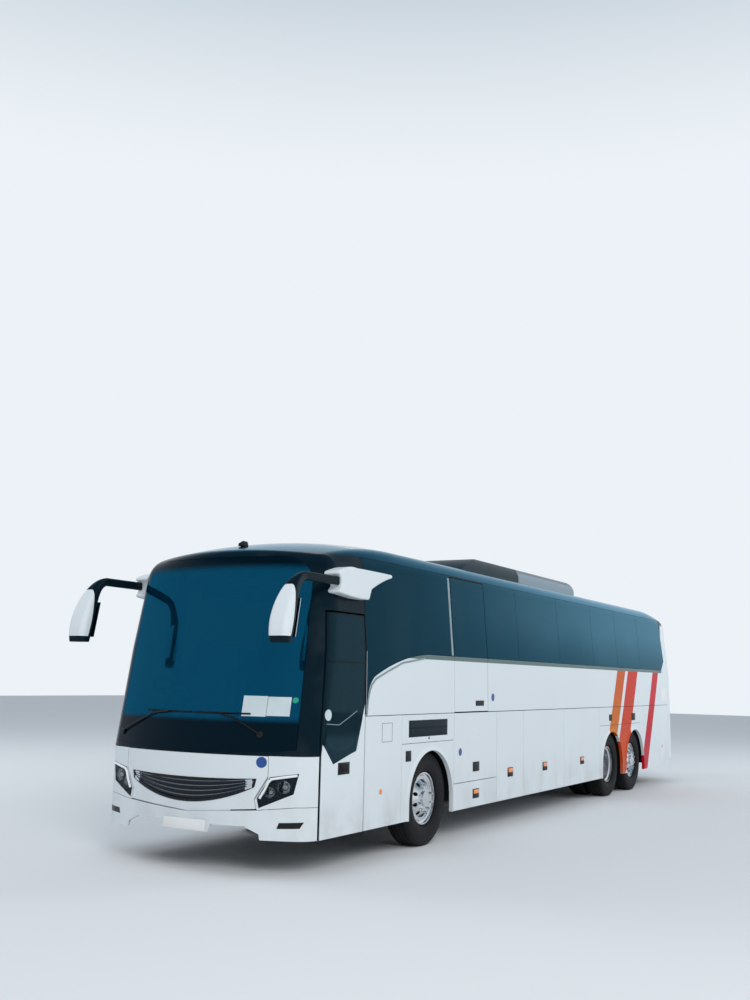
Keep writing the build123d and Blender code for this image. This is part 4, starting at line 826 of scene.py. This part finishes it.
def disc(a, b, radius, sides=20):
    """The corners of a round outline."""
    turns = [2 * pi * n / sides for n in range(sides)]
    return tuple((a + radius * cos(turn), b + radius * sin(turn)) for turn in turns)


def walk(first, last, steps):
    """Points at even steps from one point towards another, without the last."""
    return [tuple(a + (b - a) * n / steps for a, b in zip(first, last)) for n in range(steps)]


def on_panel(facing, node, points, lift):
    """Points on a node's outer face, found by rays from outside."""
    places = []
    for a, b in points:
        hit, place, normal, _ = NODES[node].ray_cast(spot(facing, a, b), -FACINGS[facing][1])
        assert hit, f"no {node} at {a}, {b}"
        places.append(place + normal * lift)
    return places


def rod(name, points, radius, material, body="coach"):
    """A round bar along points: a curve with a bevel, turned into a mesh."""
    only()
    path = bpy.data.curves.new(name, "CURVE")
    path.dimensions, path.use_fill_caps = "3D", True
    path.bevel_depth, path.bevel_resolution = radius, ROD_STEPS
    line = path.splines.new("POLY")
    line.points.add(len(points) - 1)
    for point, place in zip(line.points, points):
        point.co = (*place, 1.0)
    only(link(name, path))
    bpy.ops.object.convert(target="MESH")
    return settle(bpy.context.object, name, material, body)


# %% [markdown]
# A coach tyre has wide straight ribs with grooves between them, and a sidewall that bulges most nearly
# halfway up. It is turned like a pot: a ring of edges at the bead is extruded step by step along the axle
# and scaled to the next radius. A lathe curve with a Screw modifier gives the same form, but here each step
# can be read in a table.

# %% Ribbed tyres
# rows of distance from the tyre's middle and radius, from a bead over the tread to the middle rib
HALF_TYRE = ((0.113, 0.3045), (0.126, 0.318), (0.136, 0.345), (0.1435, 0.380), (0.1448, 0.405),
             (0.1435, 0.432), (0.1430, 0.434), (0.1395, 0.462), (0.1355, 0.486), (0.1270, 0.505),
             (0.1180, 0.5155), (0.1080, 0.5205), (0.0790, 0.5218), (0.0765, 0.5100), (0.0685, 0.5100),
             (0.0660, 0.5220), (0.0295, 0.5220), (0.0270, 0.5100), (0.0190, 0.5100), (0.0165, 0.5220))
TYRE_STEPS, TYRE_HALF, TWIN_STEP = 96, 0.145, 0.330
# the radius where the tread starts, and the radii between which the sidewall has rings
TREAD_RADIUS, RING_RADII = 0.5155, (0.43, 0.50)
# sipes around the tyre, and the frequency and swing of their zigzag along the axle
SIPES, ZIGZAG, ZIGZAG_SWING = 84.0, 60.0, 0.8
RING_FREQUENCY = 900.0
TREAD_DARK, TREAD_DUSTY = (0.007, 0.0075, 0.009), (0.018, 0.018, 0.019)
AXLE_TURN = FACINGS["left"][0]


def tread_rubber(axle):
    """Rubber with sipes across the ribs and fine rings on the sidewall, around one axle."""
    finish = Finish(f"tyre_rubber_{axle}", **DULL)
    x, y, z = finish.place()
    along, above = y - AXLES[axle], z - HUB_Z
    radius = (along.squared() + above.squared()).root()
    angle = along.math("ARCTAN2", above, along)
    tread = radius.past(TREAD_RADIUS, soft=0.001)
    sipes = (angle * SIPES + (x * ZIGZAG).wave() * ZIGZAG_SWING).wave().ramp(0.75, 0.95)
    rings = (radius * RING_FREQUENCY).wave() * radius.band(*RING_RADII, soft=0.005)
    dust = finish.noise(5.0, detail=5.0).ramp(0.35, 0.75)
    finish.feed("Base Color", finish.blend(dust, TREAD_DARK, TREAD_DUSTY))
    finish.feed("Roughness", 0.62 + 0.15 * dust)
    finish.bump(rings * 0.3 - sipes * tread, strength=0.7, distance=0.002)
    return finish.material


def ribbed_tyre(axle):
    """The left tyre of an axle, turned from bead to bead. Of twins it is the outer tyre."""
    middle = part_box(f"{axle}_tyre_left")[1].x - TYRE_HALF
    hub = Vector((middle, AXLES[axle], HUB_Z))
    rows = [(-x, radius) for x, radius in HALF_TYRE] + [(x, radius) for x, radius in reversed(HALF_TYRE)]
    piece = start("circle", vertices=TYRE_STEPS, radius=rows[0][1], fill_type="NOTHING",
                  location=hub + Vector((rows[0][0], 0, 0)), rotation=AXLE_TURN)
    bpy.ops.mesh.select_mode(type="EDGE")
    bpy.ops.mesh.select_all(action="SELECT")
    for before, after in zip(rows, rows[1:]):
        step = (after[0] - before[0], 0.0, 0.0)
        bpy.ops.mesh.extrude_edges_move(TRANSFORM_OT_translate={"value": step})
        share = after[1] / before[1]
        bpy.ops.transform.resize(value=(1.0, share, share), center_override=hub)
    bpy.ops.mesh.select_all(action="SELECT")
    bpy.ops.mesh.region_to_loop()
    bpy.ops.mesh.bridge_edge_loops()
    close_shape()
    return settle(piece, f"{axle}_ribbed_left", tread_rubber(axle), f"{axle}_wheel_left")


tyres = []
for axle in AXLES:
    left = ribbed_tyre(axle)
    right = copy_of(left, f"{axle}_ribbed_right", f"{axle}_wheel_right", mirror=True)
    tyres += [(axle, "left", left), (axle, "right", right)]
for axle, side, outer in tyres[:]:
    if axle == "drive":
        inwards = -TWIN_STEP if side == "left" else TWIN_STEP
        inner = copy_of(outer, f"drive_ribbed_inner_{side}", f"drive_wheel_{side}", (inwards, 0, 0))
        tyres.append((axle, side, inner))
for axle, side, tyre in tyres:
    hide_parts(f"{axle}_tyre_{side}")
print("tyre triangles", sum(len(face.vertices) - 2 for face in tyres[0][2].data.polygons))

# %% [markdown]
# Ten nuts hold each wheel. Each starts as its washer, a low six-sided cylinder, whose outer face is inset
# and extruded as the nut, then inset and extruded again as the stud's end. It is duplicated around the hub
# in edit mode, so that a wheel's nuts are one piece. They could be instances, but the export wants a mesh
# for each piece.

# %% Wheel nuts
NUT_COUNT, NUT_RING, NUT_RADIUS, NUT_HEIGHT = 10, 0.147, 0.0165, 0.020
WASHER_THICK, WASHER_X = 0.004, 0.0015
# shares of the nut's radius: the washer's overhang, the step to the stud and the stud's eased end
WASHER_OVER, STUD_STEP, STUD_EASE = 0.25, 0.35, 0.15
# X of the rim's face under the nuts
RIM_FACES = {"front": 1.200, "tag": 1.200, "drive": 0.974}


def nut_ring(axle, face_x):
    """The nuts of an axle's left wheel."""
    hub = Vector((face_x, AXLES[axle], HUB_Z))
    piece = start("cylinder", vertices=6, radius=NUT_RADIUS * (1 + WASHER_OVER), depth=WASHER_THICK,
                  location=hub + Vector((WASHER_X, 0, NUT_RING)), rotation=AXLE_TURN)
    choose(piece, "left")
    bpy.ops.mesh.inset(thickness=NUT_RADIUS * WASHER_OVER)
    bpy.ops.mesh.extrude_region_move(TRANSFORM_OT_translate={"value": (NUT_HEIGHT, 0, 0)})
    bpy.ops.mesh.inset(thickness=NUT_RADIUS * STUD_STEP)
    bpy.ops.mesh.extrude_region_move(TRANSFORM_OT_translate={"value": (NUT_HEIGHT / 2, 0, 0)})
    bpy.ops.mesh.inset(thickness=NUT_RADIUS * STUD_EASE)
    bpy.ops.mesh.select_all(action="SELECT")
    for _ in range(NUT_COUNT - 1):
        bpy.ops.mesh.duplicate()
        bpy.ops.transform.rotate(value=2 * pi / NUT_COUNT, orient_axis="X", center_override=hub)
    return settle(piece, f"{axle}_nuts_left", bright_trim, f"{axle}_wheel_left")


for axle, face_x in RIM_FACES.items():
    nuts = nut_ring(axle, face_x)
    copy_of(nuts, f"{axle}_nuts_right", f"{axle}_wheel_right", mirror=True)
    print(axle, "nuts reach below the hub", round(HUB_Z - min(v.co.z for v in nuts.data.vertices), 3))

# %% [markdown]
# A white light guide runs along the top edge of each headlamp and turns down its inner edge. It is a rod
# that follows the lens: a ray from in front finds the lens at each bend, so the rod keeps its depth on the
# bowed front. A plate could be cut to the same outline, but the guide's round section is what catches the
# light.

# %% Light guides
# each finish has its name, two tones, a roughness, the grain per metre and the depth of the grain
guide_white = grained("guide_white", (0.90, 0.92, 0.93), (0.84, 0.86, 0.88), 0.22, 200.0, 0.0002,
                      Coat_Weight=0.6)
# rows of X and Z of the guide's bends on the left, from its outer end
GUIDE = ((1.136, 0.932), (1.010, 0.912), (0.904, 0.893), (0.876, 0.862), (0.846, 0.795), (0.798, 0.712))
GUIDE_LIFT, GUIDE_RADIUS = 0.0050, 0.0125
for side, sign in (("left", 1), ("right", -1)):
    bends = on_panel("front", "headlamp_lenses", [(sign * x, z) for x, z in GUIDE], GUIDE_LIFT)
    rod(f"light_guide_{side}", bends, GUIDE_RADIUS, guide_white)
print("light guide bends", len(GUIDE))

# %% [markdown]
# The number plate, the signs and the labels are all blank: round signs on the front and the flank, two
# cards at the windscreen's foot and a label at the rear of the flank. They could be painted on the panels
# by a formula like the stripes, but the real ones are foils and boards with an edge that catches the light.

# %% Number plate and signs
plate_white = grained("plate_white", (0.80, 0.81, 0.80), (0.74, 0.75, 0.74), 0.35, 500.0, 0.0003)
sign_blue = grained("sign_blue", (0.012, 0.060, 0.260), (0.020, 0.080, 0.300), 0.30, 300.0, 0.0002)
sign_green = grained("sign_green", (0.010, 0.300, 0.190), (0.020, 0.340, 0.220), 0.35, 300.0, 0.0002)
card_white = grained("card_white", (0.60, 0.68, 0.70), (0.52, 0.60, 0.62), 0.60, 300.0, 0.0003)
PLATE_THICK, SIGN_THICK, CARD_THICK = 0.003, 0.0015, 0.0012
# cards keep this gap to the glass and follow it in short steps
ON_GLASS = {"lift": 0.0008, "cell": 0.02}
plate("number_plate_front", rectangle(-0.252, 0.252, 0.380, 0.482), "front", "bumper_front", PLATE_THICK,
      plate_white, rim=0.0008)
# rows of name, station or X, Z, radius, facing, node and body
ROUND_SIGNS = (
    ("front", 0.805, 1.045, 0.052, "front", "front_flap", "front_lid"),
    ("door", 4.62, 1.650, 0.050, "left", "side_wall_left", "coach"),
    ("locker", 3.62, 1.004, 0.046, "left", "locker_left_1", "locker_left_1_flap"),
)
for name, a, b, radius, facing, node, body in ROUND_SIGNS:
    plate(f"round_sign_{name}", disc(a, b, radius), facing, node, SIGN_THICK, sign_blue, body)
plate("blank_label_rear", rectangle(13.01, 13.44, 1.555, 1.790), "left", "side_wall_left", SIGN_THICK,
      plate_white)
for name, outline in (("card_large", rectangle(0.545, 0.790, 1.470, 1.665)),
                      ("card_small", rectangle(0.794, 1.015, 1.478, 1.660))):
    plate(name, outline, "front", "windscreen", CARD_THICK, card_white, **ON_GLASS)
plate("round_sign_glass", disc(1.052, 1.632, 0.028), "front", "windscreen", CARD_THICK, sign_green)
print("round signs", len(ROUND_SIGNS) + 1)

# %% [markdown]
# The wipers park low across the windscreen, one arm from each side, so that their blades make one long
# line. Each is a thin arm with a blade clipped under its tip. They could be straight bars, but the glass is
# bowed, so both follow it by the same ray, the blade a hand's breadth at a time.

# %% Wipers
# rows of name, the arm's points in X and Z, and the X of the blade's ends
WIPERS = (
    ("right", ((-1.020, 1.262), (-0.800, 1.360), (-0.520, 1.470), (-0.300, 1.492)), (-0.640, -0.020)),
    ("left", ((0.765, 1.300), (0.620, 1.380), (0.460, 1.455), (0.320, 1.480)), (0.020, 0.640)),
)
BLADE_Z, BLADE_STEPS = 1.492, 8
ARM_LIFT, ARM_RADIUS = 0.022, 0.009
BLADE_LIFT, BLADE_RADIUS = 0.009, 0.008
FOOT_RADIUS, FOOT_SIDES, FOOT_THICK = 0.032, 12, 0.020
for name, arm, (first_x, last_x) in WIPERS:
    rod(f"wiper_arm_{name}", on_panel("front", "windscreen", arm, ARM_LIFT), ARM_RADIUS, black_plastic)
    first, last = (first_x, BLADE_Z), (last_x, BLADE_Z)
    blade = on_panel("front", "windscreen", [*walk(first, last, BLADE_STEPS), last], BLADE_LIFT)
    rod(f"wiper_blade_{name}", blade, BLADE_RADIUS, seal_rubber)
    foot = disc(*arm[0], FOOT_RADIUS, FOOT_SIDES)
    plate(f"wiper_foot_{name}", foot, "front", "windscreen", FOOT_THICK, black_plastic, rim=0.004)
print("wipers", len(WIPERS))

# %% [markdown]
# Amber marker lamps in black frames sit low on both flanks, and each rides on the flap that carries it. A
# lamp could be one box with a painted lens, but a lens that stands on its frame casts the thin shadow of
# the real one.

# %% Marker lamps
FRAME_THICK, FRAME_RIM, LENS_THICK, LENS_RIM = 0.006, 0.002, 0.006, 0.0015
# the lens as shares of the frame: half its length, and below and above the frame's middle
LENS_HALF, LENS_BELOW, LENS_ABOVE = 0.40, 0.02, 0.42
# rows of name, station, Z, length, height, node and body
MARKERS = (
    ("low", 4.085, 0.486, 0.185, 0.112, "lift_flap", "lift_cover"),
    ("first", 5.207, 0.674, 0.180, 0.118, "locker_{}_2", "locker_{}_2_flap"),
    ("second", 6.512, 0.676, 0.180, 0.118, "locker_{}_3", "locker_{}_3_flap"),
    ("third", 8.163, 0.670, 0.180, 0.112, "locker_{}_4", "locker_{}_4_flap"),
)
for side in SIDES:
    for name, station, z, wide, tall, node, body in MARKERS:
        if side == "right" and name == "low":
            node, body = "locker_{}_1", "locker_{}_1_flap"
        node, body = node.format(side), body.format(side)
        frame_box = rectangle(station - wide / 2, station + wide / 2, z - tall / 2, z + tall / 2)
        plate(f"marker_frame_{name}_{side}", frame_box, side, node, FRAME_THICK, black_plastic, body,
              rim=FRAME_RIM)
        lens_box = rectangle(station - wide * LENS_HALF, station + wide * LENS_HALF,
                             z - tall * LENS_BELOW, z + tall * LENS_ABOVE)
        plate(f"marker_lens_{name}_{side}", lens_box, side, node, FRAME_THICK + LENS_THICK, lamp_amber,
              body, rim=LENS_RIM)
print("marker lamps", 2 * len(MARKERS))

# %% [markdown]
# The left flank carries small fittings: latches, locks, handles and a display pane above the front arch.
# They could be modelled one by one, but they differ only in place and size, so a table lists them. On both
# flanks a pale trim rod edges the white paint where it climbs from the waist to the side glass, and a
# thinner one edges the door's pane.

# %% Latches, handles and trim on the flank
strip_grey = grained("strip_grey", (0.24, 0.31, 0.33), (0.20, 0.26, 0.28), 0.35, 300.0, 0.0002)
FLUSH, PROUD, INSET_PROUD = 0.0025, 0.006, 0.0075
# rows of name, low and high station, low and high Z, node, body, thickness and material
FITTINGS = (
    ("latch_locker", 3.992, 4.182, 0.752, 0.866, "locker_left_1", "locker_left_1_flap", PROUD,
     black_plastic),
    ("handle_lift_door", 4.075, 4.322, 1.548, 1.612, "lift_door", "lift_door_leaf", PROUD, black_plastic),
    ("lock_front_arch", 2.195, 2.320, 0.965, 1.078, "skirt_panels", "coach", PROUD, black_plastic),
    ("latch_rear_a", 9.595, 9.755, 1.243, 1.346, "skirt_panels", "coach", PROUD, black_plastic),
    ("latch_rear_b", 10.935, 11.140, 1.226, 1.350, "skirt_panels", "coach", PROUD, black_plastic),
    ("display_pane", 2.262, 3.252, 1.222, 1.406, "skirt_panels", "coach", FLUSH, enamel_black),
    ("handle_door", 0.762, 0.980, 0.915, 1.030, "door_leaf", "entrance_leaf", PROUD, black_plastic),
    ("strip_front", 3.375, 3.425, 2.150, 3.090, "side_windows", "coach", FLUSH, strip_grey),
)
for name, low_a, high_a, low_b, high_b, node, body, thick, material in FITTINGS:
    plate(name, rectangle(low_a, high_a, low_b, high_b), "left", node, thick, material, body, rim=0.001)
LAMP_Z = 0.690
for name, station, radius in (("lamp_front_flank", 1.640, 0.028), ("lamp_rear_flank", 12.99, 0.030)):
    plate(name, disc(station, LAMP_Z, radius), "left", "skirt_panels", PROUD, lamp_amber, rim=0.001)
plate("handle_door_inset", rectangle(0.785, 0.957, 0.935, 1.010), "left", "door_leaf", INSET_PROUD,
      seal_rubber, "entrance_leaf", rim=0.001)
# rows of station and Z
SWOOP = ((1.308, 1.480), (1.336, 1.640), (1.372, 1.735), (1.412, 1.790), (1.494, 1.852), (1.790, 1.945),
         (2.105, 2.034), (2.640, 2.096))
GLASS_EDGE = ((0.530, 1.410), (0.761, 1.396), (0.940, 1.462), (1.110, 1.528))
TRIM_LIFT, SWOOP_RADIUS, GLASS_EDGE_RADIUS = 0.001, 0.010, 0.004
for side in SIDES:
    edge = on_panel(side, f"side_wall_{side}", SWOOP, TRIM_LIFT)
    rod(f"swoop_trim_{side}", edge, SWOOP_RADIUS, strip_grey)
glass_edge = on_panel("left", "door_glass", GLASS_EDGE, TRIM_LIFT)
rod("door_glass_trim", glass_edge, GLASS_EDGE_RADIUS, strip_grey, "entrance_leaf")
print("fittings", len(FITTINGS))

# %% [markdown]
# Some flaps are too small or too flush to open here, and show only as a dark line in the paint: the filler
# flap, and the flaps over the wheel arches. A rod thinner than a pencil, sunk to half its depth, reads as
# such a gap. Cutting the panel would give a true gap, but the panel is a CAD node and keeps its mesh.

# %% Seams, locks and a blank sign
SEAM_RADIUS, SEAM_STEP = 0.0025, 0.2
# rows of name and the corners of the line on the left flank
SEAMS = (
    ("seam_front_arch", ((2.105, 1.155), (3.411, 1.155))),
    ("seam_rear_arch", ((9.100, 1.170), (11.450, 1.170))),
    ("seam_filler", ((1.651, 1.196), (1.873, 1.196), (1.873, 1.390), (1.651, 1.390), (1.651, 1.196))),
)
for name, corners in SEAMS:
    line = []
    for first, last in zip(corners, corners[1:]):
        line += walk(first, last, steps=max(1, round(abs(last[0] - first[0]) / SEAM_STEP)))
    line.append(corners[-1])
    rod(name, on_panel("left", "skirt_panels", line, lift=0.0), SEAM_RADIUS, seal_rubber)
LOCK_RADIUS, LOCK_THICK, DOOR_SIGN_THICK = 0.014, 0.004, 0.001
for name, station, z in (("lock_front", 2.765, 1.200), ("lock_rear", 10.445, 1.239)):
    plate(name, disc(station, z, LOCK_RADIUS), "left", "skirt_panels", LOCK_THICK, black_plastic, rim=0.001)
plate("blank_sign_door", disc(0.560, 1.494, 0.055), "left", "door_glass", DOOR_SIGN_THICK, card_white,
      "entrance_leaf", lift=0.0006, cell=0.02)
print("seams", len(SEAMS))

# %% [markdown]
# A small aerial stands on the roof behind the brow. It starts as a cube whose top face is pulled up and
# back and drawn in, which gives the raked fin. Lofting two outlines would give a finer curve, but nobody
# sees it up there.

# %% Roof aerial
AERIAL_STATION, AERIAL_X = 0.86, -0.05
# width, length and height of the foot, how far its middle stands over the roof, and the fin's rise and rake
AERIAL_FOOT, AERIAL_LIFT, FIN_RISE, FIN_RAKE = (0.045, 0.130, 0.028), 0.010, 0.034, 0.030
# shares of the foot's width and length at the fin's top, and the radius and steps of its edges
FIN_TOP, FIN_EDGE, FIN_EDGE_STEPS = (0.45, 0.55, 1.0), 0.006, 3


def aerial():
    """A raked fin with rounded edges."""
    [foot] = on_panel("top", "roof", [(AERIAL_X, AERIAL_STATION)], lift=0.0)
    piece = start("cube", size=1.0, location=foot + Vector((0, 0, AERIAL_LIFT)), scale=AERIAL_FOOT)
    choose(piece, "top")
    bpy.ops.mesh.extrude_region_move(TRANSFORM_OT_translate={"value": (0, FIN_RAKE, FIN_RISE)})
    bpy.ops.transform.resize(value=FIN_TOP)
    bpy.ops.object.mode_set(mode="OBJECT")
    bpy.ops.object.modifier_add(type="BEVEL")
    piece.modifiers[-1].width, piece.modifiers[-1].segments = FIN_EDGE, FIN_EDGE_STEPS
    apply_all(piece)
    return settle(piece, "roof_aerial", black_plastic, "coach")


fin = aerial()
print("aerial top", round(max(v.co.z for v in fin.data.vertices), 3))

# %% [markdown]
# The coach stands on a pale floor in soft light, as in a studio. A backdrop could be a bent sheet, but a
# world that is pale to the camera and dimmer to everything else gives a clean ground without washing out
# the paint. Two large area lamps stand for the sky beyond the coach's left front and left rear corners, and
# a third lights the far side.

# %% Floor, world and lamps
FLOOR_SIZE, FLOOR_PALE, FLOOR_DEEP = 120.0, (0.80, 0.81, 0.82), (0.72, 0.73, 0.74)
# colours near the horizon and overhead, and the share of the way up over which one turns into the other
BACKDROP_LOW, BACKDROP_HIGH, BACKDROP_RISE = (0.84, 0.89, 0.93), (0.07, 0.19, 0.31), (0.42, 0.80)
SOFT_LIGHT, SOFT_STRENGTH = (0.78, 0.86, 0.95, 1.0), 0.62
# rows of name, place, target, size, power and colour
LAMPS = (
    ("key", (16.0, -20.0, 14.0), (0.5, -2.0, 1.2), 12.0, 2600.0, (1.0, 0.985, 0.96)),
    ("rear_fill", (14.0, 14.0, 9.0), (1.0, 3.0, 1.2), 10.0, 1100.0, (0.95, 0.98, 1.0)),
    ("far_fill", (-16.0, -6.0, 12.0), (0.0, 0.0, 1.5), 10.0, 900.0, (0.95, 0.98, 1.0)),
)


def studio_floor():
    """A wide matt plane under the wheels."""
    only()
    bpy.ops.mesh.primitive_plane_add(size=FLOOR_SIZE, location=(0.0, 0.0, 0.0))
    floor = bpy.context.object
    floor.name = "studio_floor"
    ground = Finish("studio_ground", Roughness=0.85)
    clouds = ground.noise(0.4, detail=4.0) * 0.3
    ground.feed("Base Color", ground.blend(clouds, FLOOR_PALE, FLOOR_DEEP))
    floor.data.materials.append(ground.material)


def studio_world():
    """Pale near the horizon and deeper overhead to whatever looks at it, and a soft light to the rest."""
    world = bpy.data.worlds.new("studio_world")
    bpy.context.scene.world = world
    world.use_nodes = True
    air = NodeTree(world.node_tree)
    camera, mirror, pane = (air.node("ShaderNodeLightPath", output=f"Is {kind} Ray")
                            for kind in ("Camera", "Glossy", "Transmission"))
    around = air.node("ShaderNodeTexCoord", output="Generated")
    rise = air.node("ShaderNodeSeparateXYZ", (), around, output="Z").ramp(*BACKDROP_RISE)
    backdrop = air.node("ShaderNodeBackground", (), air.blend(rise, BACKDROP_LOW, BACKDROP_HIGH))
    light = air.node("ShaderNodeBackground", (), SOFT_LIGHT, SOFT_STRENGTH)
    seen = air.node("ShaderNodeMixShader", (), camera.most(mirror, pane), light, backdrop)
    air.plug(air.tree.nodes["World Output"].inputs["Surface"], seen)


def lamp(name, place, target, size, power, colour):
    """A round area lamp that looks at its target and shows in no mirror."""
    light = bpy.data.lights.new(name, "AREA")
    light.shape, light.size, light.energy, light.color = "DISK", size, power, colour
    made = link(name, light)
    made.location = place
    made.rotation_euler = (Vector(target) - Vector(place)).to_track_quat("-Z", "Y").to_euler()
    made.visible_glossy = False


studio_floor()
studio_world()
for row in LAMPS:
    lamp(*row)
print("lamps", len(LAMPS))

# %% [markdown]
# The camera repeats the photograph's: it stands low beyond the left front corner and looks back along the
# flank, tilted a little up. Its place was found by fitting the known sizes of the coach to the picture. A
# track-to constraint would aim it as well, but it would lose the slight roll, so the matrix is built from
# the angles.

# %% Camera
CAMERA_PLACE = Vector((6.896, NOSE - 8.604, 1.846))
CAMERA_YAW, CAMERA_PITCH, CAMERA_ROLL = radians(29.36), radians(9.4), radians(1.23)
FOCAL_PIXELS, FRAME_PIXELS, SENSOR_WIDTH = 1084.2, 1000.0, 36.0
FARTHEST = 200.0


def photo_camera():
    """The camera that took the photograph, at the part's scale."""
    lens = bpy.data.cameras.new("photo_camera")
    lens.sensor_width, lens.lens = SENSOR_WIDTH, SENSOR_WIDTH * FOCAL_PIXELS / FRAME_PIXELS
    lens.clip_end = FARTHEST
    camera = link("photo_camera", lens)
    bpy.context.scene.camera = camera
    level = cos(CAMERA_PITCH)
    look = Vector((-sin(CAMERA_YAW) * level, cos(CAMERA_YAW) * level, sin(CAMERA_PITCH)))
    right = Vector((cos(CAMERA_YAW), sin(CAMERA_YAW), 0.0))
    up = right.cross(look)
    across = cos(CAMERA_ROLL) * right + sin(CAMERA_ROLL) * up
    upward = cos(CAMERA_ROLL) * up - sin(CAMERA_ROLL) * right
    turn = Matrix((across, upward, -look)).transposed()
    camera.matrix_world = Matrix.Translation(CAMERA_PLACE) @ turn.to_4x4()


photo_camera()
bpy.context.scene.view_settings.view_transform = "Standard"
print("camera at", [round(v, 3) for v in CAMERA_PLACE])
